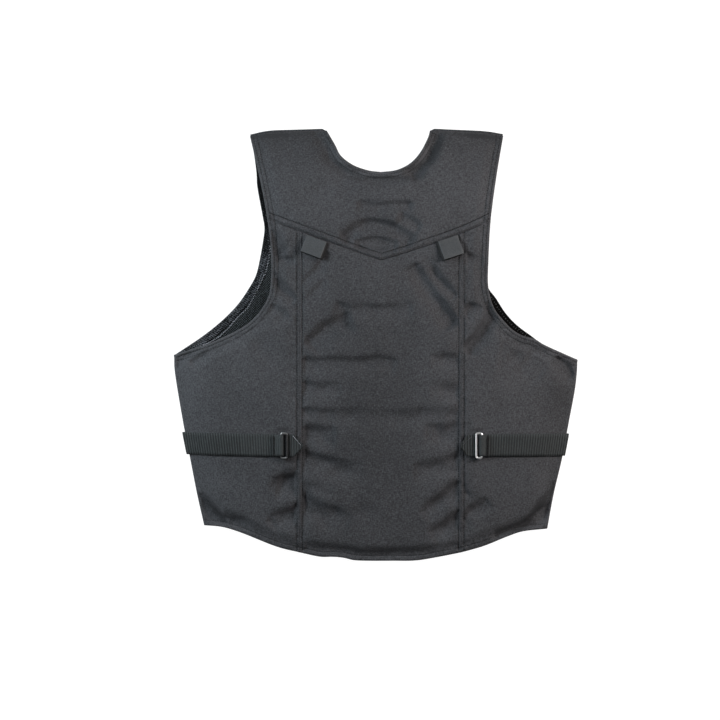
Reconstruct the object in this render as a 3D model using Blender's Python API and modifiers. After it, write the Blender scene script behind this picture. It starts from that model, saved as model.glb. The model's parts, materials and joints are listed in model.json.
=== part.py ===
"""A padded protective vest lying on its front, back side up.

Units are metres. The floor is z = 0, +Y points to the neck and +X to the right of a person who looks
down on the vest. Every pad is an open grid of points laid between its seams and edges, thickened by a
Solidify modifier that thins out towards those seams and edges.
"""
import math

import bmesh
import bpy
import numpy as np
from mathutils import Vector

# Driving dimensions
PAD_BACK = 0.014            # thickness of the back pads
PAD_FRONT = 0.012           # thickness of the front pads
WEBBING = 0.0016            # thickness of the straps' webbing
STRAP_WIDTH = 0.032
CLOTH = 0.001               # thickness of the mesh lining and of the facing strips
SEAM_GAP = 0.0009           # free space between two pads at a seam
REST_GAP = 0.0003           # free space between a piece and the one it rests on

# Heights of the middle of the layers
FRONT_MID = PAD_FRONT / 2   # the front lies flat on the floor
FRONT_LIFT = 0.005          # how far the front curls up at the side folds
BACK_FOLD = 0.0184          # the back layer where it meets the front at a fold
BACK_RISE = 0.0265          # how much higher the back layer stands over the chest
SIDE_ROUND = 3.2            # power of the roundness across
SHOULDER_ROUND = 2.0        # power of the roundness towards the shoulders
SHOULDER_START = 0.150      # from here up the back falls to the shoulder fold
HEM_FALL = 0.22             # share of the rise that is lost at the hem
HEM_FALL_START = -0.060
FLAT_SHARE = 0.70           # the front is flat over this share of the half width
FRONT_SHOULDER_START = 0.240    # from here up the front curls up to the shoulder fold

# Lines that several pieces share
CENTER_X = 0.0083           # the vest lies a little askew, so its centre line is right of the origin
PRINCESS_LEFT_X = -0.1094
PRINCESS_RIGHT_X = 0.1241
UNDERARM_Y = -0.018
HEM_Y = -0.3139
STRAP_Y = -0.1450
FRONT_NECK_Y = 0.190

# Outlines, each from top to bottom or from left to right: columns are x, y
SHOULDER_LEFT = [(-0.1823, 0.3036), (-0.1560, 0.3090), (-0.1240, 0.3105), (-0.0707, 0.3120)]
SHOULDER_RIGHT = [(0.0796, 0.3122), (0.1188, 0.3105), (0.1596, 0.3084), (0.1862, 0.3043)]
NECK_LEFT = [(-0.0707, 0.3120), (-0.0586, 0.2909), (-0.0500, 0.2745), (-0.0324, 0.2607),
             (-0.0106, 0.2527), (0.0083, 0.2502)]
NECK_RIGHT = [(0.0083, 0.2502), (0.0311, 0.2534), (0.0505, 0.2633), (0.0650, 0.2793),
              (0.0759, 0.3000), (0.0796, 0.3122)]
ARMHOLE_LEFT = [(-0.1823, 0.3036), (-0.1699, 0.2516), (-0.1590, 0.1993), (-0.1515, 0.1450),
                (-0.1506, 0.0945), (-0.1572, 0.0640), (-0.1822, 0.0327), (-0.2288, 0.0073),
                (-0.2928, -0.0145)]
ARMHOLE_RIGHT = [(0.1862, 0.3043), (0.1741, 0.2429), (0.1664, 0.1804), (0.1632, 0.1207),
                 (0.1646, 0.0845), (0.1770, 0.0540), (0.1986, 0.0250), (0.2130, 0.0136),
                 (0.2310, 0.0084), (0.2474, -0.0010), (0.2934, -0.0214)]
FRONT_ARMHOLE_LEFT = [(-0.1823, 0.3056), (-0.1721, 0.2516), (-0.1593, 0.1818), (-0.1604, 0.1571),
                      (-0.1652, 0.1207), (-0.1738, 0.0945), (-0.1950, 0.0620), (-0.2361, 0.0233),
                      (-0.2928, -0.0145)]
FRONT_ARMHOLE_RIGHT = [(0.1862, 0.3063), (0.1731, 0.2429), (0.1640, 0.1804), (0.1612, 0.1207),
                       (0.1639, 0.0870), (0.1760, 0.0690), (0.1907, 0.0464), (0.2070, 0.0286),
                       (0.2260, 0.0145), (0.2474, -0.0008), (0.2934, -0.0214)]
SIDE_LEFT = [(-0.2928, -0.0145), (-0.2913, -0.0422), (-0.2797, -0.1120), (-0.2695, -0.1644),
             (-0.2593, -0.2167), (-0.2492, -0.2608)]
SIDE_RIGHT = [(0.2934, -0.0214), (0.2919, -0.0422), (0.2803, -0.1120), (0.2716, -0.1644),
              (0.2585, -0.2167), (0.2497, -0.2672)]
YOKE_SEAM = [(-0.1565, 0.1830), (PRINCESS_LEFT_X, 0.1675), (-0.0470, 0.1443), (CENTER_X, 0.1248),
             (0.0577, 0.1382), (PRINCESS_RIGHT_X, 0.1610), (0.1664, 0.1804)]
HEM_CENTER = [(PRINCESS_LEFT_X, -0.3000), (-0.0707, -0.3079), (-0.0223, -0.3139),
              (0.0257, -0.3139), (0.0941, -0.3066), (PRINCESS_RIGHT_X, -0.3000)]
HEM_LEFT = [(-0.2492, -0.2608), (-0.2215, -0.2643), (-0.1924, -0.2727), (-0.1434, -0.2915),
            (PRINCESS_LEFT_X, -0.3000)]
HEM_RIGHT = [(PRINCESS_RIGHT_X, -0.3000), (0.1566, -0.2909), (0.1911, -0.2775),
             (0.2148, -0.2703), (0.2497, -0.2672)]

# Channels sewn across the centre pad: columns are y, left end, right end, depth
CHANNELS = [
    (0.0580, -0.050, 0.050, 0.0035),
    (-0.0190, -0.097, 0.112, 0.0030),
    (-0.0570, -0.097, 0.112, 0.0020),
    (-0.0945, -0.097, 0.112, 0.0040),
    (-0.1680, -0.097, 0.112, 0.0030),
    (-0.2230, -0.100, 0.000, 0.0025),
]
CHANNEL_WIDTH = 0.007
PLAIN_ROWS = (0.112, 0.098, 0.080, 0.036, 0.013, -0.038, -0.076, -0.113, -0.131, -0.149, -0.187,
              -0.204, -0.242, -0.260, -0.278, -0.295)    # rows of points between the channels
SEAM_REACH = 0.070          # how far the shapes of the yoke seam and the hem reach into the rows
SIDE_COLUMN = 0.0175        # width of a side panel's outer columns

# Folds pressed into the back: columns are x and y of the start, x and y of the end, depth, width
FOLDS = [
    (0.068, 0.116, 0.084, 0.083, 0.0030, 0.006),
    (0.084, 0.083, 0.108, 0.052, 0.0030, 0.006),
    (0.133, 0.003, 0.157, 0.033, 0.0030, 0.007),
    (0.157, 0.033, 0.164, 0.061, 0.0025, 0.007),
    (0.258, -0.214, 0.250, -0.230, 0.0030, 0.007),
    (0.250, -0.230, 0.215, -0.259, 0.0035, 0.008),
    (0.215, -0.259, 0.171, -0.273, 0.0025, 0.008),
    (-0.253, -0.223, -0.218, -0.255, 0.0030, 0.008),
    (-0.100, 0.012, -0.044, 0.042, 0.0020, 0.008),
    (-0.260, -0.008, -0.287, -0.033, 0.0025, 0.007),
    (0.274, -0.018, 0.292, -0.045, 0.0025, 0.007),
]
FADE_SHARE = 0.08           # the folds fade over this share of the half width at the side folds

# Share of its full thickness that a pad keeps along a line
SEAM_SHARE = 0.62
EDGE_SHARE = 0.36
SECOND_SHARE = 0.90
FOLD_SHARE = 0.45

# Metal rings: wire bent to a rectangle, which the straps fold round
RING_WIRE = 0.0016          # radius of the wire
RING_WIDTH = 0.0140         # outside, along the strap
RING_HEIGHT = 0.0385        # outside, across the strap
RING_CORNER = 0.0030        # radius of the wire's middle at the corners
RINGS = [("left", -1, -0.1258), ("right", 1, 0.1440)]    # columns are side, sign, inner side's x

# Straps
STRAP_GAP = 0.0007          # under the straps' ends and the rings
RUN_GAP = 0.0010            # under the straps where they cross the curved side panels
LOOP_WIDTH = 0.0303         # of the strap's fold inside the ring
LOOP_RADIUS = RING_WIRE + STRAP_GAP + WEBBING / 2
TAIL_END = 0.0195           # where the folded end is sewn down, from the ring's inner side
RUN_START = 0.0260          # from here the strap lies on the side panel
WRAP_START = 0.0020         # before the fold the strap starts to turn
STRAP_TUCK = 0.0190         # how far the strap runs on under the front

# The strap's way round the side fold: columns are distance past the fold, share of the way down
WRAP = [(0.0006, 0.00), (0.0020, 0.05), (0.0028, 0.16), (0.0030, 0.50), (0.0028, 0.86),
        (0.0018, 0.96), (0.0000, 1.00)]

# The pointed end of an anchor: columns are distance from the ring's inner side, half width
ANCHOR = [(0.0035, 0.0160), (-0.0020, 0.0160), (-0.0075, 0.0160), (-0.0145, 0.0105),
          (-0.0208, 0.0035)]

# Tabs: columns are name, middle x, middle y, turn in degrees, width, length
TABS = [
    ("yoke_tab_left", -0.0895, 0.1425, -16.5, 0.0318, 0.0280),
    ("yoke_tab_right", 0.1090, 0.1410, 17.5, 0.0290, 0.0275),
]
TAB_THICKNESS = 0.0030
TAB_BEVEL = 0.0007
TAB_TILT = 3.0              # degrees that a tab's free end stands off

# The closed front fastening
ZIP_WIDTH = 0.0070
ZIP_THICKNESS = 0.0030
FRONT_HEM_RISE = 0.0040     # the front hem ends this much above the back's
FRONT_PEEK = 0.0025         # the front's shoulder edge shows this much above the back's
INSIDE_GAP = 0.0005         # between the front's inner face and its lining

# Colours are linear red, green, blue; then roughness and metallic
FINISHES = {
    "back_cloth": ((0.055, 0.056, 0.062), 0.85, 0.0),
    "front_cloth": ((0.050, 0.052, 0.058), 0.85, 0.0),
    "mesh_lining": ((0.020, 0.022, 0.024), 0.90, 0.0),
    "webbing": ((0.036, 0.038, 0.040), 0.80, 0.0),
    "metal": ((0.620, 0.620, 0.630), 0.30, 1.0),
    "tab": ((0.085, 0.089, 0.096), 0.55, 0.0),
    "zip": ((0.015, 0.015, 0.016), 0.50, 0.0),
}


def clear_scene():
    for item in list(bpy.data.objects):
        bpy.data.objects.remove(item, do_unlink=True)


def finish(name):
    """The material of one object, with its finish's colour, roughness and metallic value."""
    colour, roughness, metallic = FINISHES[name]
    material = bpy.data.materials.new(name)
    material.use_nodes = True
    shader = material.node_tree.nodes["Principled BSDF"]
    shader.inputs["Base Color"].default_value = (*colour, 1.0)
    shader.inputs["Roughness"].default_value = roughness
    shader.inputs["Metallic"].default_value = metallic
    return material


def smooth_curve(points, count):
    """count + 1 points at equal steps along a smooth curve through the given points."""
    knots = np.array(points)
    padded = np.vstack([2 * knots[0] - knots[1], knots, 2 * knots[-1] - knots[-2]])
    dense = []
    for a, b, c, d in zip(padded, padded[1:], padded[2:], padded[3:]):
        for t in np.linspace(0, 1, 16, endpoint=False):
            dense.append(0.5 * (2 * b + (c - a) * t + (2 * a - 5 * b + 4 * c - d) * t ** 2
                                + (3 * b - a - 3 * c + d) * t ** 3))
    dense = np.array(dense + [knots[-1]])
    reach = np.concatenate([[0], np.cumsum(np.hypot(*np.diff(dense, axis=0).T))])
    steps = np.linspace(0, reach[-1], count + 1)
    return np.column_stack([np.interp(steps, reach, dense[:, 0]),
                            np.interp(steps, reach, dense[:, 1])])


def shifted(curve, dx, dy):
    return curve + np.array([dx, dy])


def joined(*curves):
    """Curves that follow each other as one, each starting where the last one ended."""
    return np.vstack([curves[0]] + [curve[1:] for curve in curves[1:]])


def patch(bottom, top, left, right):
    """Points of a flat patch between four curves, as patch[i][j] from left to right and upwards."""
    columns, rows = len(bottom) - 1, len(left) - 1
    u = np.linspace(0, 1, columns + 1)[:, None, None]
    v = np.linspace(0, 1, rows + 1)[None, :, None]
    across = (1 - v) * bottom[:, None, :] + v * top[:, None, :]
    upward = (1 - u) * left[None, :, :] + u * right[None, :, :]
    corners = ((1 - u) * (1 - v) * bottom[0] + u * (1 - v) * bottom[-1]
               + (1 - u) * v * top[0] + u * v * top[-1])
    return across + upward - corners


SIDE_CURVES = {-1: smooth_curve(SIDE_LEFT, 40), 1: smooth_curve(SIDE_RIGHT, 40)}
SHOULDER_LINE = np.array(SHOULDER_LEFT + SHOULDER_RIGHT)
SEAM_LINE = np.array(YOKE_SEAM)


def fold_x(sign, y):
    """Where the side fold is at height y on the left (-1) or the right (1)."""
    side = SIDE_CURVES[sign]
    return np.interp(min(y, UNDERARM_Y), side[::-1, 1], side[::-1, 0])


def width_share(x, y):
    """Distance from the origin as a share of the distance to the side fold."""
    return min(x / fold_x(1 if x > 0 else -1, y), 1.0)


def shoulder_share(x, y, start):
    """How far a point is on its way from a starting height to the shoulder fold, from 0 to 1."""
    fold = np.interp(x, SHOULDER_LINE[:, 0], SHOULDER_LINE[:, 1])
    return min(max(y - start, 0.0) / (fold - start), 1.0)


def line_distance(x, y, x0, y0, x1, y1):
    length_squared = (x1 - x0) ** 2 + (y1 - y0) ** 2
    t = ((x - x0) * (x1 - x0) + (y - y0) * (y1 - y0)) / length_squared
    t = min(max(t, 0.0), 1.0)
    return math.hypot(x - x0 - t * (x1 - x0), y - y0 - t * (y1 - y0))


def crown(x, y):
    """How far the back stands up at a point, as a share of its full rise."""
    across = 1 - width_share(x, y) ** SIDE_ROUND
    to_hem = max(HEM_FALL_START - y, 0.0) / (HEM_FALL_START - HEM_Y)
    along = 1 - shoulder_share(x, y, SHOULDER_START) ** SHOULDER_ROUND - HEM_FALL * to_hem ** 2
    return across * along


def back_mid(x, y):
    """Height of the middle of the back layer, with its channels and folds."""
    height = BACK_FOLD + BACK_RISE * crown(x, y)
    fade = min((1 - width_share(x, y)) / FADE_SHARE, 1.0)
    for x0, y0, x1, y1, depth, width in FOLDS:
        height -= fade * depth * math.exp(-(line_distance(x, y, x0, y0, x1, y1) / width) ** 2)
    if PRINCESS_LEFT_X < x < PRINCESS_RIGHT_X:
        for channel_y, left, right, depth in CHANNELS:
            away = line_distance(x, y, left, channel_y, right, channel_y)
            height -= depth * math.exp(-(away / CHANNEL_WIDTH) ** 2)
    return height


def front_mid(x, y):
    """Height of the middle of the front layer: flat, and curled up towards the folds."""
    to_side = max(width_share(x, y) - FLAT_SHARE, 0.0) / (1 - FLAT_SHARE)
    return FRONT_MID + FRONT_LIFT * max(to_side, shoulder_share(x, y, FRONT_SHOULDER_START)) ** 2


def fold_thickness(x, y):
    """Share of full thickness that the pads keep at a distance from the side fold."""
    away = abs(fold_x(1 if x > 0 else -1, y)) - abs(x)
    return np.interp(away, [0, SIDE_COLUMN, 2 * SIDE_COLUMN], [FOLD_SHARE, SECOND_SHARE, 1.0])


def back_top(x, y):
    """Height of the back's outer face, away from its seams."""
    return back_mid(x, y) + PAD_BACK / 2 * fold_thickness(x, y)


def center_top(x, y):
    """Height of the centre panel's outer face, which is lower beside its seams."""
    spans = [(*start, *end) for start, end in zip(YOKE_SEAM, YOKE_SEAM[1:])]
    away = min(line_distance(x, y, *span) for span in spans)
    away = min(away, x - PRINCESS_LEFT_X, PRINCESS_RIGHT_X - x)
    share = np.interp(away, [0, SIDE_COLUMN, 2 * SIDE_COLUMN], [SEAM_SHARE, SECOND_SHARE, 1.0])
    return back_mid(x, y) + PAD_BACK / 2 * share


def front_bottom(x, y):
    """Height of the front's outer face, which is the lower one."""
    return front_mid(x, y) - PAD_FRONT / 2 * fold_thickness(x, y)


def raised(points, height):
    """The same grid of points with the height that height(x, y) gives each."""
    heights = np.array([[height(x, y) for x, y in column] for column in points])
    return np.dstack([points, heights])


def layer(name, points, thickness, material, shares=None):
    """A pad, a cloth or a webbing: a grid of points in space, thickened evenly to both sides.

    shares[i, j] is the share of the full thickness at column i and row j.
    """
    columns, rows = points.shape[0] - 1, points.shape[1] - 1
    form = bmesh.new()
    bmesh.ops.create_grid(form, x_segments=columns, y_segments=rows, size=0.5)
    deform = form.verts.layers.deform.new()
    for vert in form.verts:
        i = round((vert.co.x + 0.5) * columns)
        j = round((vert.co.y + 0.5) * rows)
        vert.co = points[i, j]
        vert[deform][0] = 1.0 if shares is None else shares[i, j]
    mesh = bpy.data.meshes.new(name)
    form.to_mesh(mesh)
    form.free()
    item = bpy.data.objects.new(name, mesh)
    item.vertex_groups.new(name="thickness")
    mesh.materials.append(finish(material))
    shell = item.modifiers.new("thickness", "SOLIDIFY")
    shell.thickness = thickness
    shell.offset = 0
    shell.vertex_group = "thickness"
    VEST.objects.link(item)
    return item


def edge_shares(columns, rows, left, right, bottom, top):
    """Thickness shares of a pad that thins out over its outer rows and columns."""
    shares = np.ones((columns + 1, rows + 1))
    for step, least in ((1, SECOND_SHARE), (0, 0.0)):
        for edge, line in ((left, np.s_[step, :]), (right, np.s_[columns - step, :]),
                           (bottom, np.s_[:, step]), (top, np.s_[:, rows - step])):
            shares[line] = np.minimum(shares[line], max(edge, least))
    return shares


def armhole_part(outline, y, count, upper):
    """The stretch of an armhole above or below the yoke seam's end, from top to bottom."""
    dense = smooth_curve(outline, 50)
    inside = dense[:, 1] > y if upper else dense[:, 1] < y
    cut = [np.interp(-y, -dense[:, 1], dense[:, 0]), y]
    part = dense[inside].tolist()
    return smooth_curve(part + [cut] if upper else [cut] + part, count)


def make_yoke(seam_left, seam_right):
    half, rows = len(seam_left) - 1, 9
    top_left = joined(smooth_curve(SHOULDER_LEFT, half - 4), smooth_curve(NECK_LEFT, 4))
    top_right = joined(smooth_curve(NECK_RIGHT, 4), smooth_curve(SHOULDER_RIGHT, half - 4))
    seam_left = shifted(seam_left, 0, SEAM_GAP / 2)
    seam_right = shifted(seam_right, 0, SEAM_GAP / 2)
    arm_left = armhole_part(ARMHOLE_LEFT, YOKE_SEAM[0][1], rows, True)[::-1]
    arm_right = armhole_part(ARMHOLE_RIGHT, YOKE_SEAM[-1][1], rows, True)[::-1]
    arm_left[0], arm_right[0] = seam_left[0], seam_right[-1]
    middle = np.linspace(seam_left[-1], top_left[-1], rows + 1)
    points = np.concatenate([patch(seam_left, top_left, arm_left, middle),
                             patch(seam_right, top_right, middle, arm_right)[1:]])
    shares = edge_shares(2 * half, rows, EDGE_SHARE, EDGE_SHARE, SEAM_SHARE, FOLD_SHARE)
    layer("back_yoke", raised(points, back_mid), PAD_BACK, "back_cloth", shares)


def center_rows(upper, lower):
    """Rows of the centre panel from its top seam to its hem, with three rows to each channel."""
    heights = list(PLAIN_ROWS)
    for channel_y, _, _, _ in CHANNELS:
        heights += [channel_y + CHANNEL_WIDTH, channel_y, channel_y - CHANNEL_WIDTH]
    tip, bottom = min(upper[:, 1]), min(lower[:, 1])
    rows = [upper]
    for y in sorted(heights, reverse=True):
        step = (tip - y) / (tip - bottom)
        near_top = max(1 - (tip - y) / SEAM_REACH, 0.0)
        near_hem = max(1 - (y - bottom) / SEAM_REACH, 0.0)
        row = (1 - step) * upper + step * lower
        row[:, 1] = y + near_top * (upper[:, 1] - tip) + near_hem * (lower[:, 1] - bottom)
        rows.append(row)
    return rows + [lower]


def make_center(seam):
    columns = len(seam) - 1
    rows = center_rows(shifted(seam, 0, -SEAM_GAP / 2), smooth_curve(HEM_CENTER, columns))
    points = np.stack(rows[::-1], axis=1)
    points[0, :, 0] += SEAM_GAP / 2
    points[-1, :, 0] -= SEAM_GAP / 2
    shares = edge_shares(columns, len(rows) - 1, SEAM_SHARE, SEAM_SHARE, EDGE_SHARE, SEAM_SHARE)
    layer("back_center", raised(points, back_mid), PAD_BACK, "back_cloth", shares)


def make_side(name, sign, armhole, side, hem, seam_part):
    """A side panel from a princess seam to the side fold, with the armhole above the fold."""
    columns, side_rows, arm_rows = len(seam_part) - 1, 11, 12
    arm_y = (YOKE_SEAM[0] if sign < 0 else YOKE_SEAM[-1])[1]
    outer = joined(armhole_part(armhole, arm_y, arm_rows, False), smooth_curve(side, side_rows))
    outer = outer[::-1]
    top = shifted(seam_part, sign * SEAM_GAP / 2, -SEAM_GAP / 2)
    bottom = shifted(smooth_curve(hem, columns), sign * SEAM_GAP / 2, 0)
    fold, seam = (0, -1) if sign < 0 else (-1, 0)
    outer[0], outer[-1] = bottom[fold], top[fold]
    inner = np.linspace(bottom[seam], top[seam], side_rows + arm_rows + 1)
    left, right = (outer, inner) if sign < 0 else (inner, outer)
    points = patch(bottom, top, left, right)
    edges = (1.0, SEAM_SHARE) if sign < 0 else (SEAM_SHARE, 1.0)
    shares = edge_shares(columns, side_rows + arm_rows, *edges, EDGE_SHARE, SEAM_SHARE)
    shares[fold, side_rows:] = EDGE_SHARE
    shares = np.minimum(shares, raised(points, fold_thickness)[:, :, 2])
    layer(name, raised(points, back_mid), PAD_BACK, "back_cloth", shares)


def make_back():
    """The yoke, the centre panel and the two side panels, whose seams share their points."""
    center_left = smooth_curve(YOKE_SEAM[1:4], 7)
    center_right = smooth_curve(YOKE_SEAM[3:6], 7)
    make_yoke(joined(smooth_curve(YOKE_SEAM[:2], 2), center_left),
              joined(center_right, smooth_curve(YOKE_SEAM[5:], 2)))
    make_center(joined(center_left, center_right))
    make_side("back_side_left", -1, ARMHOLE_LEFT, SIDE_LEFT, HEM_LEFT,
              smooth_curve(YOKE_SEAM[:2], 9))
    make_side("back_side_right", 1, ARMHOLE_RIGHT, SIDE_RIGHT, HEM_RIGHT,
              smooth_curve(YOKE_SEAM[5:], 9))


def make_front(side, sign, armhole, side_edge, shoulder):
    """One front half with its lining and its armhole facing, from the zip to the side fold."""
    columns, rows, arm_rows, neck_columns = 9, 18, 10, 5
    zip_edge = CENTER_X + sign * (ZIP_WIDTH / 2 + SEAM_GAP)
    corner_x, corner_y = shoulder[0]
    neck = smooth_curve([(zip_edge, FRONT_NECK_Y), (zip_edge + sign * 0.040, FRONT_NECK_Y + 0.025),
                         (corner_x - sign * 0.004, FRONT_NECK_Y + 0.080), (corner_x, corner_y)],
                        neck_columns)
    shoulder_curve = smooth_curve(shoulder, columns - neck_columns)
    shoulder_curve[1:, 1] += FRONT_PEEK
    top = joined(neck, shoulder_curve)
    outer = joined(smooth_curve(armhole, arm_rows), smooth_curve(side_edge, rows - arm_rows))
    outer[0] = top[-1]
    outer = outer[::-1]
    hem = joined(*[smooth_curve(part, 20) for part in (HEM_LEFT, HEM_CENTER, HEM_RIGHT)])
    half = hem[sign * (hem[:, 0] - zip_edge) > 0][::sign]
    start = [zip_edge, np.interp(zip_edge, hem[:, 0], hem[:, 1])]
    bottom = smooth_curve([start] + half.tolist(), columns)
    bottom[:-1, 1] += FRONT_HEM_RISE
    inner = np.linspace(bottom[0], top[0], rows + 1)
    outer[0] = bottom[-1]
    points = raised(patch(bottom, top, inner, outer), front_mid)
    shares = edge_shares(columns, rows, EDGE_SHARE, FOLD_SHARE, EDGE_SHARE, FOLD_SHARE)
    layer(f"front_{side}", points, PAD_FRONT, "front_cloth", shares)

    inside = points.copy()
    inside[:, :, 2] += PAD_FRONT / 2 * shares + INSIDE_GAP + CLOTH / 2
    lining = inside[:-1, 1:-2].copy()
    facing = inside[-2:, rows - arm_rows + 1:-2].copy()
    away = lining[0] - lining[1]
    lining[0] -= away / np.linalg.norm(away, axis=1)[:, None] * SEAM_GAP
    towards = lining[-2] - lining[-1]
    lining[-1] += towards / np.linalg.norm(towards, axis=1)[:, None] * SEAM_GAP
    layer(f"front_lining_{side}", lining, CLOTH, "mesh_lining")
    layer(f"armhole_facing_{side}", facing, CLOTH, "front_cloth")


def make_zip():
    """The closed fastening between the front halves, as one plain strip."""
    hem_y = HEM_Y + 2 * FRONT_HEM_RISE
    bpy.ops.mesh.primitive_cube_add(size=1)
    strip = bpy.context.object
    strip.name = "front_zip"
    strip.scale = (ZIP_WIDTH, FRONT_NECK_Y - hem_y, ZIP_THICKNESS)
    strip.location = (CENTER_X, (FRONT_NECK_Y + hem_y) / 2, FRONT_MID)
    place(strip, "zip")


def place(item, material):
    """Moves a piece made by an operator into the vest's collection and gives it its finish."""
    for collection in list(item.users_collection):
        collection.objects.unlink(item)
    item.data.materials.append(finish(material))
    VEST.objects.link(item)


class Seat:
    """The flat place on a side panel where a ring lies, with distances from its inner side."""

    def __init__(self, sign, x):
        self.sign, self.x = sign, x
        fall = back_top(x, STRAP_Y) - back_top(x + sign * RUN_START, STRAP_Y)
        self.angle = math.atan2(fall, RUN_START)
        self.z = back_top(x, STRAP_Y) + STRAP_GAP

    def point(self, away, y, height):
        """away from the ring's inner side towards the fold, and height above the panel."""
        out, up = math.cos(self.angle), math.sin(self.angle)
        return (self.x + self.sign * (away * out + height * up), y,
                self.z - away * up + height * out)


def strap_path(seat, y, share):
    """The strap's middle line: round the ring, over the side panel and round the side fold.

    share is -1, 0 or 1 for the lower edge, the middle and the upper edge of the strap.
    """
    bar_away, bar_height = RING_WIDTH - RING_WIRE, WEBBING / 2 + LOOP_RADIUS
    loop_y = STRAP_Y + share * LOOP_WIDTH / 2
    tail_height = 1.5 * WEBBING + STRAP_GAP
    path = [seat.point(TAIL_END, loop_y, tail_height),
            seat.point(TAIL_END - 0.0027, loop_y, tail_height + 0.0004)]
    for degrees in range(45, 271, 25):
        turn = math.radians(degrees)
        path.append(seat.point(bar_away + LOOP_RADIUS * math.cos(turn), loop_y,
                               bar_height + LOOP_RADIUS * math.sin(turn)))
    path.append(seat.point((bar_away + RUN_START) / 2, y, WEBBING / 2))
    fold = fold_x(seat.sign, y)
    start = seat.x + seat.sign * RUN_START
    lift = RUN_GAP + WEBBING / 2
    near_fold = [fold - seat.sign * SIDE_COLUMN / 2, fold - seat.sign * WRAP_START]
    for x in [*np.linspace(start, fold - seat.sign * SIDE_COLUMN, 6), *near_fold]:
        path.append((x, y, back_top(x, y) + lift))
    upper = back_top(fold, y) + lift
    lower = front_bottom(fold, y) - lift
    for past, step in WRAP:
        path.append((fold + seat.sign * past, y, upper + step * (lower - upper)))
    for tuck in (STRAP_TUCK / 2, STRAP_TUCK):
        x = fold - seat.sign * tuck
        path.append((x, y, front_bottom(x, y) - lift))
    return path


def make_strap(side, sign, x):
    """A strap with its ring and its sewn anchor."""
    seat = Seat(sign, x)
    paths = [strap_path(seat, STRAP_Y + share * STRAP_WIDTH / 2, share) for share in (-1, 0, 1)]
    layer(f"strap_{side}", np.array(paths), WEBBING, "webbing")
    rows = [[seat.point(away, STRAP_Y + share * half, WEBBING / 2) for away, half in ANCHOR]
            for share in (-1, 0, 1)]
    layer(f"strap_anchor_{side}", np.array(rows), WEBBING, "webbing")
    make_ring(f"strap_ring_{side}", seat)


def make_ring(name, seat):
    """A rectangle of wire with rounded corners, as a closed curve with a bevel."""
    half_wide = RING_WIDTH / 2 - RING_WIRE - RING_CORNER
    half_high = RING_HEIGHT / 2 - RING_WIRE - RING_CORNER
    corners = [(half_wide, half_high, 0), (-half_wide, half_high, 90),
               (-half_wide, -half_high, 180), (half_wide, -half_high, 270)]
    route = []
    for away, across, start in corners:
        for turn in (0, 30, 60, 90):
            angle = math.radians(start + turn)
            route.append(seat.point(RING_WIDTH / 2 + away + RING_CORNER * math.cos(angle),
                                    STRAP_Y + across + RING_CORNER * math.sin(angle),
                                    WEBBING / 2 + LOOP_RADIUS))
    curve = bpy.data.curves.new(name, "CURVE")
    curve.dimensions = "3D"
    curve.bevel_depth = RING_WIRE
    curve.bevel_resolution = 2
    wire = curve.splines.new("POLY")
    wire.points.add(len(route) - 1)
    for point, place_at in zip(wire.points, route):
        point.co = (*place_at, 1.0)
    wire.use_cyclic_u = True
    curve.materials.append(finish("metal"))
    VEST.objects.link(bpy.data.objects.new(name, curve))


def make_tab(name, x, y, turn, width, length):
    """A short thick tab that comes out of the yoke seam and lies on the centre panel."""
    bpy.ops.mesh.primitive_cube_add(size=1)
    tab = bpy.context.object
    tab.name = name
    tab.scale = (width, length, TAB_THICKNESS)
    bpy.ops.object.transform_apply(location=False, rotation=False, scale=True)
    slope_x = (back_mid(x + 0.01, y) - back_mid(x - 0.01, y)) / 0.02
    slope_y = (back_mid(x, y + 0.01) - back_mid(x, y - 0.01)) / 0.02
    tab.rotation_euler = (math.atan(slope_y) - math.radians(TAB_TILT), -math.atan(slope_x),
                          math.radians(turn))
    underside = [tab.rotation_euler.to_matrix() @ Vector((u * width, v * length, -TAB_THICKNESS / 2))
                 for u in np.linspace(-0.5, 0.5, 7) for v in np.linspace(-0.5, 0.5, 7)]
    seat = max(center_top(x + low.x, y + low.y) - low.z for low in underside)
    tab.location = (x, y, seat + REST_GAP)
    bevel = tab.modifiers.new("rounded edges", "BEVEL")
    bevel.width = TAB_BEVEL
    bevel.segments = 2
    place(tab, "tab")


VEST = bpy.data.collections.new("protective_vest")


def main():
    clear_scene()
    bpy.context.scene.collection.children.link(VEST)
    make_back()
    make_front("left", -1, FRONT_ARMHOLE_LEFT, SIDE_LEFT, SHOULDER_LEFT[::-1])
    make_front("right", 1, FRONT_ARMHOLE_RIGHT, SIDE_RIGHT, SHOULDER_RIGHT)
    make_zip()
    for side, sign, x in RINGS:
        make_strap(side, sign, x)
    for name, x, y, turn, width, length in TABS:
        make_tab(name, x, y, turn, width, length)


main()
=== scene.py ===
# %% [markdown]
# # A padded protective vest, lying on its front
#
# The real vest is sewn from foam pads covered in dark woven cloth. It lies on its front, so we look
# down on its back: a pointed yoke over the shoulders, a centre panel with sewn channels, two side
# panels, and an adjusting strap on each side. This script dresses a plain solid model of it. The
# solids give the places and sizes, and each soft piece is built again here with finer forms.

# %% Load the plain model
import json
import math

import bmesh
import bpy
import numpy as np
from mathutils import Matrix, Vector, noise
from mathutils.bvhtree import BVHTree

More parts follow.
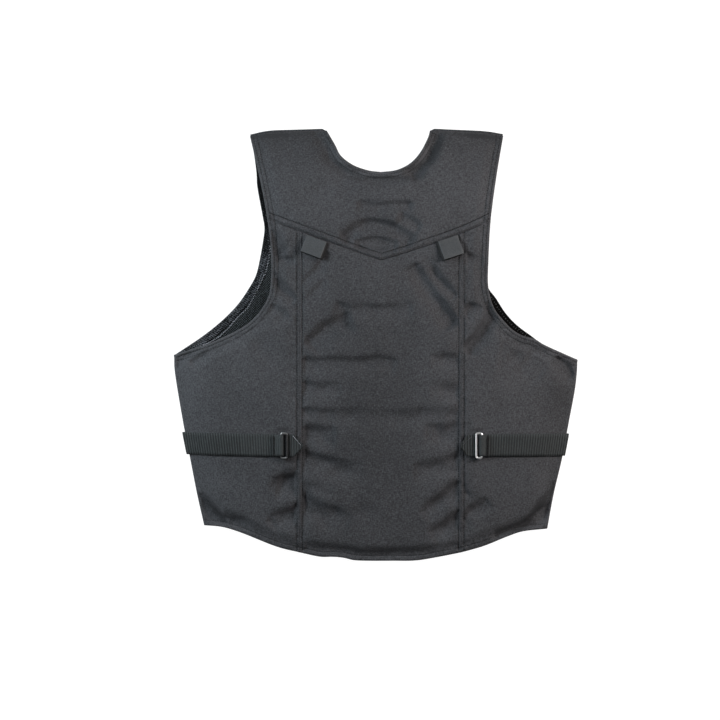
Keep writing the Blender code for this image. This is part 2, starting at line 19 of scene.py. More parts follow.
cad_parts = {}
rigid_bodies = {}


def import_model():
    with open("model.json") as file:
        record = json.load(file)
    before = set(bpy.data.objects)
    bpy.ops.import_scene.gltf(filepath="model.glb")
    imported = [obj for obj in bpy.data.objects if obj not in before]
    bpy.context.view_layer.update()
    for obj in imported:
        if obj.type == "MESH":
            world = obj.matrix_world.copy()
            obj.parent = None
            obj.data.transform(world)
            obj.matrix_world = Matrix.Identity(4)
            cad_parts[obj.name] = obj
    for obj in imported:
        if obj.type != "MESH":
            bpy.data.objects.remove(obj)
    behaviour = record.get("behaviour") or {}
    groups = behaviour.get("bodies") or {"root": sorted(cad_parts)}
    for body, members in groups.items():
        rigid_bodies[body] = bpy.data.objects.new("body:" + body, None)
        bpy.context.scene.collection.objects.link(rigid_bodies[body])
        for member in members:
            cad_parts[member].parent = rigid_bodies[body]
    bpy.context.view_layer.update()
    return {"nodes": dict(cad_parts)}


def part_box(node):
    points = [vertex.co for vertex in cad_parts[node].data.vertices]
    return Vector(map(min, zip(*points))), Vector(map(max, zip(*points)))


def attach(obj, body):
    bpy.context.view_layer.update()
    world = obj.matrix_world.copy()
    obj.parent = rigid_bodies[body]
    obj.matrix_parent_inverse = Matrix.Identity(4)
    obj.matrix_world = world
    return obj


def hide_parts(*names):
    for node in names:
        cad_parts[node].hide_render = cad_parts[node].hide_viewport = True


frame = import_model()

# %% [markdown]
# ## Camera
#
# The picture was taken from straight above, with the neck at the top. A camera with no rotation looks
# down already. What has to be right is how much of the floor the picture covers, so the focal length
# is worked out from that width at the height of the side folds, where the outline is.

# %% The camera, straight above
PICTURE = 720                    # pixels on each side
PIXEL = 0.0014545                # metres on the vest for each pixel
ORIGIN_PX = (375.3, 345.0)       # where the model's origin is in the picture
FOLD_HEIGHT = 0.020              # the outline is at about this height
CAMERA_HEIGHT = 3.0
SENSOR = 0.036


def link(item):
    """Puts a new object into the scene."""
    bpy.context.scene.collection.objects.link(item)
    return item


camera = link(bpy.data.objects.new("camera", bpy.data.cameras.new("camera")))
camera.data.sensor_width = SENSOR * 1000
camera.data.lens = 1000 * SENSOR * (CAMERA_HEIGHT - FOLD_HEIGHT) / (PICTURE * PIXEL)
camera.location = ((PICTURE / 2 - ORIGIN_PX[0]) * PIXEL, (ORIGIN_PX[1] - PICTURE / 2) * PIXEL,
                   CAMERA_HEIGHT)
bpy.context.scene.camera = camera
print("lens", round(camera.data.lens, 1), "mm at", tuple(round(v, 4) for v in camera.location))

# %% [markdown]
# ## Floor and light
#
# The background is white and the vest dark. In the picture both sides of the vest are brighter than
# its middle, the left side is a little blue, slopes that face the neck end are lit and the cloth gets
# darker towards the hem. So two low wide lamps stand close by, one at each side and a little towards
# the neck end. A wide weak lamp overhead is what the metal rings reflect, and the sky only adds a
# faint glow. The floor glows as a light table does.

# %% Floor, lamps and sky
LIT = Vector((0, 0, 0))          # the lamps shine on the middle of the vest


def make_lamp(name, place, size, power, colour):
    lamp = bpy.data.lights.new(name, "AREA")
    lamp.shape = "DISK"
    lamp.size = size
    lamp.energy = power
    lamp.color = colour
    item = link(bpy.data.objects.new(name, lamp))
    item.location = place
    item.rotation_euler = (LIT - Vector(place)).to_track_quat("-Z", "Y").to_euler()


make_lamp("lamp_right", (1.05, 0.38, 0.75), 0.5, 18.0, (1.0, 0.945, 0.925))
make_lamp("lamp_left", (-0.95, 0.33, 0.7), 0.5, 16.5, (0.84, 0.935, 1.0))
make_lamp("lamp_top", (0, 0, 3.4), 1.6, 8.0, (1.0, 1.0, 1.0))
sky = bpy.data.worlds.new("studio")
bpy.context.scene.world = sky
sky.use_nodes = True
glow = sky.node_tree.nodes["Background"].inputs
glow["Color"].default_value = (1.0, 1.0, 1.0, 1.0)
glow["Strength"].default_value = 0.05
bpy.context.scene.view_settings.view_transform = "Standard"
bpy.ops.mesh.primitive_plane_add(size=12, location=(0, 0, 0))
floor = bpy.context.object
floor.name = "floor"

# %% [markdown]
# ## Writing shaders as sums
#
# A woven cloth is easier to read as a formula than as a row of boxes. The class Wire stands for one
# output of a shader node, and adding or multiplying Wires puts in the Math nodes. Finish holds one
# material; its node method makes any other node.

# %% Wire and Finish
class Wire:
    """One output socket of a finish, which can stand in a sum."""

    def __init__(self, finish, socket):
        self.finish, self.socket = finish, socket

    def math(self, operation, first, second=None):
        values = {0: first} if second is None else {0: first, 1: second}
        return self.finish.node("ShaderNodeMath", {"operation": operation}, values)

    def __add__(self, other):
        return self.math("ADD", self, other)

    def __sub__(self, other):
        return self.math("SUBTRACT", self, other)

    def __rsub__(self, other):
        return self.math("SUBTRACT", other, self)

    def __mul__(self, other):
        return self.math("MULTIPLY", self, other)

    def __gt__(self, other):
        return self.math("GREATER_THAN", self, other)

    def __abs__(self):
        return self.math("ABSOLUTE", self)

    def sin(self):
        return self.math("SINE", self)

    def exp(self):
        return self.math("EXPONENT", self)

    __radd__ = __add__
    __rmul__ = __mul__


class Finish:
    """One material: a Principled shader and what feeds it."""

    def __init__(self, name, roughness, metallic=0.0, specular=0.5):
        self.material = bpy.data.materials.new(name)
        self.material.use_nodes = True
        self.tree = self.material.node_tree
        self.shader = self.tree.nodes["Principled BSDF"]
        self.set("Roughness", roughness)
        self.set("Metallic", metallic)
        self.set("Specular IOR Level", specular)

    def put(self, socket, value):
        """Links a Wire to a socket, or sets its number or colour."""
        if isinstance(value, Wire):
            self.tree.links.new(value.socket, socket)
        else:
            socket.default_value = value

    def set(self, name, value):
        self.put(self.shader.inputs[name], value)

    def node(self, kind, settings=None, inputs=None, output=0):
        """Any node, given its type, its settings and the values or Wires of its sockets."""
        made = self.tree.nodes.new(kind)
        for name, value in (settings or {}).items():
            setattr(made, name, value)
        for name, value in (inputs or {}).items():
            self.put(made.inputs[name], value)
        return Wire(self, made.outputs[output])

    def place(self):
        """The point of the surface, in metres."""
        return self.node("ShaderNodeTexCoord", output="Object")

    def along(self, axis):
        """One coordinate of the point, in metres."""
        return self.node("ShaderNodeSeparateXYZ", inputs={0: self.place()}, output=axis)

    def cloud(self, scale, detail=2.0, stretch=(1, 1, 1)):
        """Soft random values round 0.5, about 1 / scale metres apart."""
        moved = self.node("ShaderNodeVectorMath", {"operation": "MULTIPLY"},
                          {0: self.place(), 1: stretch})
        return self.node("ShaderNodeTexNoise", inputs={"Vector": moved, "Scale": scale,
                                                       "Detail": detail})

    def spot(self, x, y, wide, high, turn=0.0):
        """1 at a place, and less and less away from it; the spot may be turned, in degrees."""
        right, up = self.along(0) - x, self.along(1) - y
        cosine, sine = math.cos(math.radians(turn)), math.sin(math.radians(turn))
        along = (right * cosine + up * sine) * (1 / wide)
        across = (up * cosine - right * sine) * (1 / high)
        return ((along * along + across * across) * -1).exp()

    def mix(self, share, first, second):
        """From the first colour to the second one."""
        return self.node("ShaderNodeMix", {"data_type": "RGBA"},
                         {"Factor": share, 6: first, 7: second}, output=2)

    def bump(self, height, distance, strength=1.0):
        inputs = {"Height": height, "Distance": distance, "Strength": strength}
        self.set("Normal", self.node("ShaderNodeBump", inputs=inputs))


print("shader tools ready")

# %% [markdown]
# ## Painted light and shade on the cloth
#
# The cloth's colour carries painted light and shade. It is paler as painted light on slopes and folds
# that face the lamps, and darker as painted shade in dips, pressed creases, under the shoulders, round
# the rings and anchors and beside the tabs. A cloud could vary the colour, but then the places would fall
# anywhere. So each is a soft round or narrow spot with a place of its own, and their sum moves the cloth
# between its dark and its light colour.

# %% Paler and darker places
# Round places of painted light and shade, the dark ones round the rings and anchors painted shadow:
# the middle and the reach of each in metres, across and up, and how much paler
ROUND_PAINTED_LIGHT_AND_SHADE = [(-0.012, -0.090, 0.060, 0.200, -0.18), (0.050, -0.130, 0.035, 0.200, -0.10),
           (0.082, 0.000, 0.030, 0.300, 0.10), (0.020, 0.205, 0.060, 0.045, 0.14),
           (0.150, 0.195, 0.030, 0.045, 0.20), (-0.130, 0.305, 0.090, 0.034, -0.28),
           (0.130, 0.308, 0.080, 0.030, -0.20), (-0.268, -0.060, 0.024, 0.110, 0.15),
           (0.152, -0.125, 0.030, 0.080, 0.14), (0.262, -0.070, 0.020, 0.045, -0.18),
           (-0.238, -0.205, 0.030, 0.040, 0.16), (0.228, -0.205, 0.035, 0.040, 0.14),
           (-0.134, -0.123, 0.009, 0.004, -0.55), (-0.130, -0.168, 0.012, 0.004, -0.55),
           (-0.103, -0.152, 0.004, 0.010, -0.40), (0.146, -0.123, 0.010, 0.0035, -0.50),
           (0.143, -0.167, 0.012, 0.004, -0.45), (0.119, -0.150, 0.004, 0.009, -0.45),
           (-0.243, -0.252, 0.010, 0.008, 0.25), (0.246, -0.254, 0.012, 0.010, 0.40)]
# Narrow places of painted light and shade: middle, reach along and across, turn in degrees, and how much
# paler. First painted shade in the hard creases at the two lower corners, then painted shade under the
# shoulders and in the dip along the neck, a painted highlight on the band along the neck, and painted
# shadow beside the two tabs
NARROW_PAINTED_LIGHT_AND_SHADE = [(-0.231, -0.243, 0.020, 0.0032, -46, -0.85), (0.240, -0.229, 0.036, 0.0052, 51, -0.85),
           (0.212, -0.263, 0.018, 0.0042, 28, -0.45), (-0.150, 0.304, 0.030, 0.0030, 3, -0.6),
           (0.155, 0.303, 0.030, 0.0030, -5, -0.7), (-0.046, 0.257, 0.022, 0.0042, -35, -0.55),
           (0.012, 0.2415, 0.030, 0.0034, 0, -0.55), (0.066, 0.260, 0.020, 0.0048, 35, -0.50),
           (0.088, 0.284, 0.017, 0.0062, 62, -0.45), (-0.053, 0.272, 0.020, 0.0030, -55, 0.65),
           (0.008, 0.2475, 0.032, 0.0028, 0, 0.60), (0.070, 0.275, 0.020, 0.0032, 57, 0.70),
           (0.0940, 0.1330, 0.010, 0.0026, -71, -1.1), (-0.0735, 0.1335, 0.009, 0.0022, 75, -1.0)]
print(len(ROUND_PAINTED_LIGHT_AND_SHADE), "round places and", len(NARROW_PAINTED_LIGHT_AND_SHADE), "narrow ones")

# %% [markdown]
# ## The finishes
#
# The pads wear a plain weave of fairly thick yarn: one thread over, one under. Two sine waves make the
# threads and the sign of their product says which one is on top. Yarn is never even, so small clouds
# vary its colour and thickness, and a large one lets the colour drift a little over the vest.

# %% Woven cloth
THREAD = 0.00125                 # metres from one thread to the next
ROUGH = 0.86


def weave_cloth(name, dark, light):
    """Plain weave: threads along x and along y take turns on top."""
    finish = Finish(name, ROUGH, specular=0.28)
    turn = math.pi / THREAD
    warp, weft = (finish.along(0) * turn).sin(), (finish.along(1) * turn).sin()
    over = warp * weft > 0
    threads = abs(warp) * over + abs(weft) * (1 - over)
    fibres = finish.cloud(900, 1)
    patches = finish.cloud(13, 3)
    slub = finish.cloud(900, 0, (0.30, 1.1, 1.0)) + finish.cloud(900, 0, (1.1, 0.30, 1.0))
    # The sum of the painted light and shade of all these places
    painted_light_and_shade = sum(finish.spot(*where) * paler for *where, paler in ROUND_PAINTED_LIGHT_AND_SHADE + NARROW_PAINTED_LIGHT_AND_SHADE)
    tone = threads * 0.2 + fibres * 0.35 + slub * 1.15 + patches * 0.5 + painted_light_and_shade - 1.26
    finish.set("Base Color", finish.mix(tone, (*dark, 1), (*light, 1)))
    finish.set("Roughness", ROUGH - 0.10 * fibres)
    finish.bump(threads * 0.5 + slub * 0.6 + fibres * 0.3, 0.0002)
    return finish.material


BACK_CLOTH = weave_cloth("back_cloth", (0.0205, 0.0208, 0.0225), (0.0600, 0.0612, 0.0662))
FRONT_CLOTH = weave_cloth("front_cloth", (0.017, 0.018, 0.020), (0.054, 0.056, 0.061))
print("cloth:", BACK_CLOTH.name, FRONT_CLOTH.name)

# %% [markdown]
# The lining is a knitted mesh with small round holes, nearly black. The facing that edges it is ribbed
# and has light specks of yarn; it is in the shade near the shoulder, where the back covers it. The
# webbing has ribs across it that are modelled, so its finish only adds the fine yarn.

# %% Mesh, facing and webbing
HOLE = 0.0036                    # metres from one hole of the mesh to the next
FACING_RIB = 0.0030
YARN, YARN_ACROSS = 0.0016, 0.0019    # between the webbing's threads, along and across the vest


def mesh_finish():
    """Knitted mesh: dark holes between knots in even rows."""
    finish = Finish("mesh_lining", 0.9, specular=0.2)
    turn = 2 * math.pi / HOLE
    knots = (finish.along(0) * turn).sin() * (finish.along(1) * turn).sin()
    fibres = finish.cloud(500, 1)
    finish.set("Base Color", finish.mix(knots * 1.2 + fibres * 2.4 - 1.05, (0.002, 0.0025, 0.0025, 1),
                                        (0.060, 0.066, 0.068, 1)))
    finish.bump(knots, 0.0005)
    return finish.material


# Where the back layer shades the facing: the middle and the reach, across and up
DARK_TOP, DARK_SIDE = (-0.170, 0.245, 0.040, 0.055), (-0.160, 0.165, 0.012, 0.030)


def facing_finish(name, dark, light):
    """Ribbed edging: fine ribs across it and light specks of yarn."""
    finish = Finish(name, 0.85, specular=0.06)
    slant = finish.along(0) * 0.5 + finish.along(1) * 0.87
    ribs = (slant * (2 * math.pi / FACING_RIB)).sin()
    specks = finish.cloud(900, 0, (1.0, 0.5, 1.0))
    shaded = finish.spot(*DARK_TOP) + finish.spot(*DARK_SIDE) * 0.4
    tone = ribs * 0.34 + specks * 2.2 + finish.cloud(40) * 0.8 - 1.25 - shaded * 1.1
    finish.set("Base Color", finish.mix(tone, (*dark, 1), (*light, 1)))
    finish.bump(ribs * 0.4 + specks, 0.0004)
    return finish.material


def webbing_finish(name, dark, light):
    """Fine yarn both ways; a darker one of these is painted shade in the grooves between the ribs."""
    finish = Finish(name, 0.8, specular=0.3)
    yarn = abs((finish.along(1) * (math.pi / YARN)).sin())
    ribs = abs((finish.along(0) * (math.pi / YARN_ACROSS)).sin())
    fibres = finish.cloud(800, 3, (1.0, 0.4, 1.0))
    tone = yarn * 0.25 + ribs * 0.30 + fibres * 1.1 + finish.cloud(40) * 0.3 - 0.55
    finish.set("Base Color", finish.mix(tone, (*dark, 1), (*light, 1)))
    finish.bump(yarn * 0.6 + fibres * 0.4, 0.0003, 0.8)
    return finish.material


MESH = mesh_finish()
# The right facing is nearly black as painted shade, for the shadow in the right armhole
FACING_CLOTH = {"left": facing_finish("facing_left", (0.003, 0.0033, 0.0036), (0.105, 0.108, 0.118)),
                "right": facing_finish("facing_right", (0.001, 0.001, 0.001), (0.004, 0.004, 0.004))}
RIB_CLOTH = webbing_finish("webbing", (0.014, 0.0165, 0.0165), (0.044, 0.049, 0.050))
# A darker copy of the webbing: painted shade in its grooves and painted shadow at the loop's cut end
GROOVE_SHADE_CLOTH = webbing_finish("webbing_painted_groove_shade", (0.005, 0.006, 0.006), (0.016, 0.018, 0.018))
print("inside and straps:", MESH.name, RIB_CLOTH.name)

# %% [markdown]
# Both rings are plated wire. The right one is bright. The left one has a dark colour as a painted dark
# reflection, and a painted highlight on its two short arms. The tabs are smooth coated rubber, and the
# fastening underneath is plain black plastic.

# %% Metal, rubber and plastic
RING_MIDDLE = sum(corner[1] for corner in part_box("strap_ring_left")) / 2
ARMS_FROM = 0.0162               # the ring's short arms lie further than this from its middle


def metal_finish(name, dark, bright, worn):
    """Plated wire with random tone, and by a share worn a painted highlight on its short arms."""
    finish = Finish(name, 0.22, metallic=1.0)
    # Random tone, mixed with the painted highlight on the short arms
    arms = abs(finish.along(1) - RING_MIDDLE) > ARMS_FROM
    tone_and_arm_highlight = finish.cloud(160, 3) * (1 - worn) + arms * worn
    finish.set("Base Color", finish.mix(tone_and_arm_highlight, (dark, dark, dark * 1.02, 1), (bright, bright, bright, 1)))
    finish.set("Roughness", 0.30 + 0.10 * tone_and_arm_highlight)
    finish.bump(finish.cloud(900, 2), 0.00003, 0.3)
    return finish.material


def tab_finish():
    """Smooth grey rubber with a fine grain and a few worn patches."""
    finish = Finish("tab", 0.5, specular=0.4)
    grain = finish.cloud(520, 2)
    worn = finish.cloud(60, 3)
    finish.set("Base Color", finish.mix(worn * 0.8 + grain * 1.6 - 0.7, (0.030, 0.033, 0.035, 1),
                                        (0.054, 0.058, 0.061, 1)))
    finish.set("Roughness", 0.42 + 0.2 * worn)
    finish.bump(grain, 0.0001, 0.5)
    return finish.material


def zip_finish():
    """Black plastic with scuffs."""
    finish = Finish("zip", 0.45)
    scuffs = finish.cloud(300, 3)
    finish.set("Base Color", finish.mix(scuffs, (0.010, 0.010, 0.011, 1), (0.022, 0.022, 0.023, 1)))
    finish.set("Roughness", 0.38 + 0.2 * scuffs)
    return finish.material


# The left ring's dark colour is a painted dark reflection, with a painted highlight on its arms
METAL = {"left": metal_finish("metal_painted_dark_reflection", 0.05, 0.24, 0.8),
         "right": metal_finish("metal", 0.72, 0.92, 0.0)}
TAB_RUBBER, ZIP_PLASTIC = tab_finish(), zip_finish()
print("hard pieces:", METAL["left"].name, METAL["right"].name, TAB_RUBBER.name, ZIP_PLASTIC.name)

# %% [markdown]
# The thread is mostly as dark as the cloth, black where a row shows as a dark line, and light where a
# row stands out. The black finish is painted shadow on the tabs' sides, the anchors' lower rows and the
# loops' sewn ends, and the light thread of the left anchor's upper row is a painted highlight. The floor
# is pure white in the picture, so it glows by itself.

# %% Thread and floor
def thread_finish(name, tone):
    """Twisted thread, given how light its colour is."""
    finish = Finish(name, 0.7, specular=0.3)
    twist = finish.cloud(1500, 2)
    finish.set("Base Color", finish.mix(twist, (tone * 0.5, tone * 0.5, tone * 0.55, 1),
                                        (tone * 1.4, tone * 1.4, tone * 1.5, 1)))
    return finish.material


FLOOR_GLOW = 1.0                 # the floor is lit from below, as a light table is


def floor_finish():
    """White, with hardly any light thrown back, so that the vest's shade doesn't darken it."""
    finish = Finish("white_floor", 0.7, specular=0.1)
    smudge = finish.cloud(3, 2)
    finish.set("Base Color", finish.mix(smudge, (0.10, 0.10, 0.10, 1), (0.14, 0.14, 0.14, 1)))
    finish.set("Emission Color", (1.0, 1.0, 1.0, 1.0))
    finish.set("Emission Strength", FLOOR_GLOW)
    return finish.material


THREAD_YARN, LIGHT_THREAD = thread_finish("thread", 0.012), thread_finish("light_thread", 0.32)
# BLACK is also painted shadow; GREY_THREAD serves only the right anchor's painted highlight
GREY_THREAD, BLACK = thread_finish("grey_thread", 0.08), thread_finish("black", 0.003)
floor.data.materials.append(floor_finish())
print("finishes:", [m.name for m in bpy.data.materials])

# %% [markdown]
# ## Seams and edges
#
# The panels of the back meet at seams, and each seam is one line that two panels share. The lines are
# given by a few knots in millimetres, from the top down or from left to right, with smooth curves
# through them. They follow the edges of the plain model, so the fine panels land on its solids, and
# differ from them by a few millimetres where the picture was measured once more.

# %% The lines of the pattern
def mm(*points):
    """Points given in millimetres, as metres."""
    return np.array(points) / 1000


# Where a line has a left and a right half, -1 stands for the left one and 1 for the right one
CENTER_X = 0.0083
PRINCESS = {-1: -0.1094, 1: 0.1241}
UNDERARM_Y, HEM_Y, STRAP_Y = -0.018, -0.3139, -0.1450
SHOULDER = {-1: mm((-182.3, 303.6), (-156.0, 309.0), (-124.0, 310.5), (-70.7, 312.0)),
            1: mm((79.6, 312.2), (118.8, 310.5), (159.6, 308.4), (186.2, 304.3))}
NECK = {-1: mm((-70.7, 312.0), (-58.6, 290.9), (-50.0, 274.5), (-32.4, 260.7), (-10.6, 252.7),
               (8.3, 250.2)),
        1: mm((8.3, 250.2), (31.1, 253.4), (50.5, 263.3), (65.0, 279.3), (75.9, 300.0), (79.6, 312.2))}
ARMHOLE = {-1: mm((-182.3, 303.6), (-169.9, 251.6), (-159.0, 199.3), (-151.5, 145.0), (-150.6, 94.5),
                  (-157.2, 64.0), (-182.2, 32.7), (-228.8, 7.3), (-292.8, -14.5)),
           1: mm((186.2, 304.3), (175.2, 242.9), (166.6, 180.4), (163.2, 120.7), (163.0, 84.5),
                 (170.5, 55.5), (183.2, 37.4), (197.8, 22.5), (213.0, 13.6), (231.0, 8.4),
                 (247.4, -1.0), (294.1, -21.4))}
FRONT_ARMHOLE = {-1: mm((-182.3, 306.1), (-177.4, 280.7), (-173.6, 251.6), (-172.2, 230.0),
                        (-164.4, 187.6), (-161.9, 171.0), (-163.8, 152.7), (-169.7, 120.0),
                        (-174.7, 101.0), (-184.6, 82.9), (-200.6, 59.6), (-223.1, 36.4),
                        (-251.9, 13.1), (-292.8, -14.5)),
                 1: mm((186.2, 306.8), (173.1, 242.9), (164.0, 180.4), (161.2, 120.7), (163.9, 87.0),
                       (176.0, 69.0), (190.7, 46.4), (207.6, 28.6), (226.6, 14.5), (248.4, -0.8),
                       (294.1, -21.4))}
SIDE = {-1: mm((-292.8, -14.5), (-291.3, -42.2), (-279.7, -112.0), (-269.5, -164.4),
               (-259.3, -216.7), (-249.0, -262.2)),
        1: mm((294.1, -21.4), (293.1, -42.2), (289.9, -68.0), (281.6, -112.0), (271.8, -164.4),
              (259.6, -216.7), (250.2, -267.2))}
YOKE_SEAM = mm((-156.5, 182.0), (-109.4, 164.2), (-47.0, 141.4), (8.3, 121.9), (57.7, 137.3),
               (124.1, 161.0), (166.4, 180.4))
HEM_CENTER = mm((-109.4, -300.0), (-80.4, -306.0), (-62.0, -306.2), (-46.0, -307.6), (-31.0, -311.0),
                (-10.6, -311.9), (24.3, -311.9), (59.2, -311.4), (94.1, -305.8), (124.1, -300.0))
HEM = {-1: mm((-249.0, -262.2), (-221.5, -264.3), (-192.4, -272.7), (-143.4, -291.5),
              (-109.4, -300.0)),
       1: mm((249.7, -267.2), (214.8, -270.3), (191.1, -277.5), (156.6, -290.9), (124.1, -300.0))}
print("the yoke seam has", len(YOKE_SEAM), "knots")

# %% [markdown]
# A Catmull-Rom curve goes through all its knots and needs no handles, which suits lines that were read
# from a picture. Points are then taken at even steps of its length.

# %% Smooth lines through the knots
def curve(knots, shares):
    """Points of a smooth curve through the knots, at these shares of its length."""
    knots = np.asarray(knots)
    padded = np.vstack([2 * knots[0] - knots[1], knots, 2 * knots[-1] - knots[-2]])
    t = np.linspace(0, 1, 24, endpoint=False)[:, None]
    spans = [0.5 * (2 * b + (c - a) * t + (2 * a - 5 * b + 4 * c - d) * t ** 2
                    + (3 * b - a - 3 * c + d) * t ** 3)
             for a, b, c, d in zip(padded, padded[1:], padded[2:], padded[3:])]
    dense = np.vstack(spans + [knots[-1:]])
    reach = np.concatenate([[0], np.cumsum(np.linalg.norm(np.diff(dense, axis=0), axis=1))])
    wanted = np.multiply(shares, reach[-1])
    return np.column_stack([np.interp(wanted, reach, column) for column in dense.T])


def even(count):
    return np.linspace(0, 1, count + 1)


def at(line, x):
    """The point of a line that runs from left to right, at this x."""
    return x, np.interp(x, line[:, 0], line[:, 1])


def joined(*curves):
    """Curves that follow each other as one, each starting where the last one ended."""
    return np.vstack([curves[0]] + [part[1:] for part in curves[1:]])


SIDE_LINE = {sign: curve(SIDE[sign], even(60)) for sign in (-1, 1)}
SHOULDER_LINE = np.vstack([SHOULDER[-1], SHOULDER[1]])
YOKE_LINE = joined(curve(YOKE_SEAM[:4], even(40)), curve(YOKE_SEAM[3:], even(40)))
NECK_LINE = joined(curve(NECK[-1], even(40)), curve(NECK[1], even(40)))
HEM_LINE = joined(curve(HEM[-1], even(30)), curve(HEM_CENTER, even(40)), curve(HEM[1][::-1], even(30)))
ARM_LINE = {sign: curve(ARMHOLE[sign], even(90)) for sign in (-1, 1)}
PRINCESS_LINE = {sign: np.array([at(YOKE_LINE, x), (x, -0.300)]) for sign, x in PRINCESS.items()}
print("seams from x", YOKE_LINE[:, 0].min().round(4), "to", YOKE_LINE[:, 0].max().round(4))

# %% [markdown]
# ## How the vest lies
#
# The back stands highest over the chest and falls to the folds at the sides and the shoulders, and a
# little to the hem. The front lies flat on the floor and curls up towards the same folds. These two
# heights are those of the plain model; the scene adds what is finer.

# %% Heights of the two layers
PAD_BACK, PAD_FRONT = 0.014, 0.012
BACK_FOLD, BACK_RISE = 0.0184, 0.0265
FRONT_LIFT = 0.005
ARCHED = 3.2                     # the higher this is, the flatter the middle and the steeper the sides
BACK_FALLS, FRONT_CURLS = 0.150, 0.240    # from these heights up the layers bend to the shoulders
HEM_FALLS, HEM_DROP = -0.060, 0.22        # from here down the back falls, by this share of its rise
SIDE_CURLS = 0.70                # the front curls up from this share of the way to a side fold


def fold_x(sign, y):
    """Where the side fold is at this y; above the underarm it stays where it is there."""
    line = SIDE_LINE[sign]
    return np.interp(np.minimum(y, UNDERARM_Y), line[::-1, 1], line[::-1, 0])


def width_share(x, y):
    """Distance from the middle as a share of the distance to the side fold."""
    return np.minimum(np.where(x > 0, x / fold_x(1, y), x / fold_x(-1, y)), 1.0)


def shoulder_share(x, y, start):
    """How far y is on its way from start to the shoulder."""
    return np.clip((y - start) / (at(SHOULDER_LINE, x)[1] - start), 0.0, 1.0)


def back_mid(x, y):
    """Height of the middle of the back layer."""
    across = 1 - width_share(x, y) ** ARCHED
    to_hem = np.maximum(HEM_FALLS - y, 0.0) / (HEM_FALLS - HEM_Y)
    along = 1 - shoulder_share(x, y, BACK_FALLS) ** 2 - HEM_DROP * to_hem ** 2
    return BACK_FOLD + BACK_RISE * across * along


def front_mid(x, y):
    """Height of the middle of the front layer."""
    to_side = np.maximum(width_share(x, y) - SIDE_CURLS, 0.0) / (1 - SIDE_CURLS)
    return PAD_FRONT / 2 + FRONT_LIFT * np.maximum(to_side, shoulder_share(x, y, FRONT_CURLS)) ** 2


print("back is", round(1000 * float(back_mid(0.0, 0.0)), 1), "mm up in the middle")

# %% [markdown]
# ## A pad between four lines
#
# A pad is a grid of points stretched between its four border lines, called a Coons patch: the average
# of going across and going up, less the part that both count. The cells are small near the borders,
# where the stitching presses narrow grooves, and wider in the middle. Two such sheets with a wall
# round them make one closed pad.

# %% Patches and closed pads
BAND_CELL, BAND_CELLS = 0.0007, 17    # size in metres and number of the small cells at a border
COLUMN, ROW = 0.0024, 0.0012          # most folds run across, so the rows are finer than the columns
# About how wide and how long the pads are in metres, to choose the number of their cells
PAD_SIZE = {"half_yoke": (0.19, 0.13), "center": (0.2335, 0.44), "side": (0.165, 0.46),
            "front": (0.27, 0.52)}


def cells(length, step, end=True):
    """Shares from 0 to 1 with small cells near the start, and near the end unless it lies inside."""
    band = [BAND_CELL] * BAND_CELLS
    middle = length - BAND_CELL * BAND_CELLS * (1 + end)
    sizes = np.array(band + [step] * round(middle / step) + band * end)
    return np.concatenate([[0], np.cumsum(sizes) / sizes.sum()])


def straight(start, end, shares):
    """Points on the way from start to end."""
    return np.outer(1 - shares, start) + np.outer(shares, end)


def one_side(first, second, shares, split):
    """Two border lines as one side of a patch, the second one from the cell split on."""
    return joined(curve(first, shares[:split + 1] / shares[split]),
                  curve(second, (shares[split:] - shares[split]) / (1 - shares[split])))


def patch(bottom, top, left, right, u, v):
    """Points between four curves, as patch[i][j] from left to right and upwards."""
    u, v = u[:, None, None], v[None, :, None]
    across = (1 - v) * bottom[:, None] + v * top[:, None]
    upward = (1 - u) * left[None] + u * right[None]
    corners = ((1 - u) * (1 - v) * bottom[0] + u * (1 - v) * bottom[-1]
               + (1 - u) * v * top[0] + u * v * top[-1])
    return across + upward - corners


def finish_mesh(name, points, faces, material):
    """A smooth object with its faces turned outwards."""
    mesh = bpy.data.meshes.new(name)
    mesh.from_pydata(points.tolist(), [], faces.tolist())
    form = bmesh.new()
    form.from_mesh(mesh)
    bmesh.ops.recalc_face_normals(form, faces=form.faces)
    form.to_mesh(mesh)
    form.free()
    mesh.shade_smooth()
    mesh.materials.append(material)
    return link(bpy.data.objects.new(name, mesh))


def grid_faces(columns, rows):
    """The faces between the points of a grid, and the points round its rim in order."""
    number = np.arange(columns * rows).reshape(columns, rows)
    quads = np.stack([number[:-1, :-1], number[1:, :-1], number[1:, 1:], number[:-1, 1:]], -1)
    rim = np.concatenate([number[:, 0], number[-1, 1:], number[-2::-1, -1], number[0, -2:0:-1]])
    return quads.reshape(-1, 4), rim


def closed_pad(name, flat, top, bottom, material):
    """A pad over a flat patch, with the heights of its two faces."""
    faces, rim = grid_faces(*top.shape)
    under = top.size
    next_rim = np.roll(rim, -1)
    walls = np.stack([rim, rim + under, next_rim + under, next_rim], -1)
    points = np.vstack([np.dstack([flat, top]).reshape(-1, 3), np.dstack([flat, bottom]).reshape(-1, 3)])
    return finish_mesh(name, points, np.vstack([faces, faces[:, ::-1] + under, walls]), material)


def dress(piece, slot, *nodes):
    """Every piece of the vest rides on its one body and stands for the solids it covers."""
    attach(piece, "root")
    if nodes:
        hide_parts(*nodes)
    return piece


print("the centre pad has", len(cells(PAD_SIZE["center"][0], COLUMN)), "by",
      len(cells(PAD_SIZE["center"][1], ROW)), "points on each face")

# %% [markdown]
# ## Pressed lines, folds and pad edges
#
# Close up, three things shape the cloth. The pad swells up from each seam and edge. The topstitching
# presses narrow grooves at fixed distances from them. And handling has left soft folds. A fold drops
# steeply on one side and rises slowly on the other, which is why it shows as a dark line with a soft
# side. A cloth simulation would put folds wherever they like, so they are listed here by name instead,
# each with its route in millimetres.

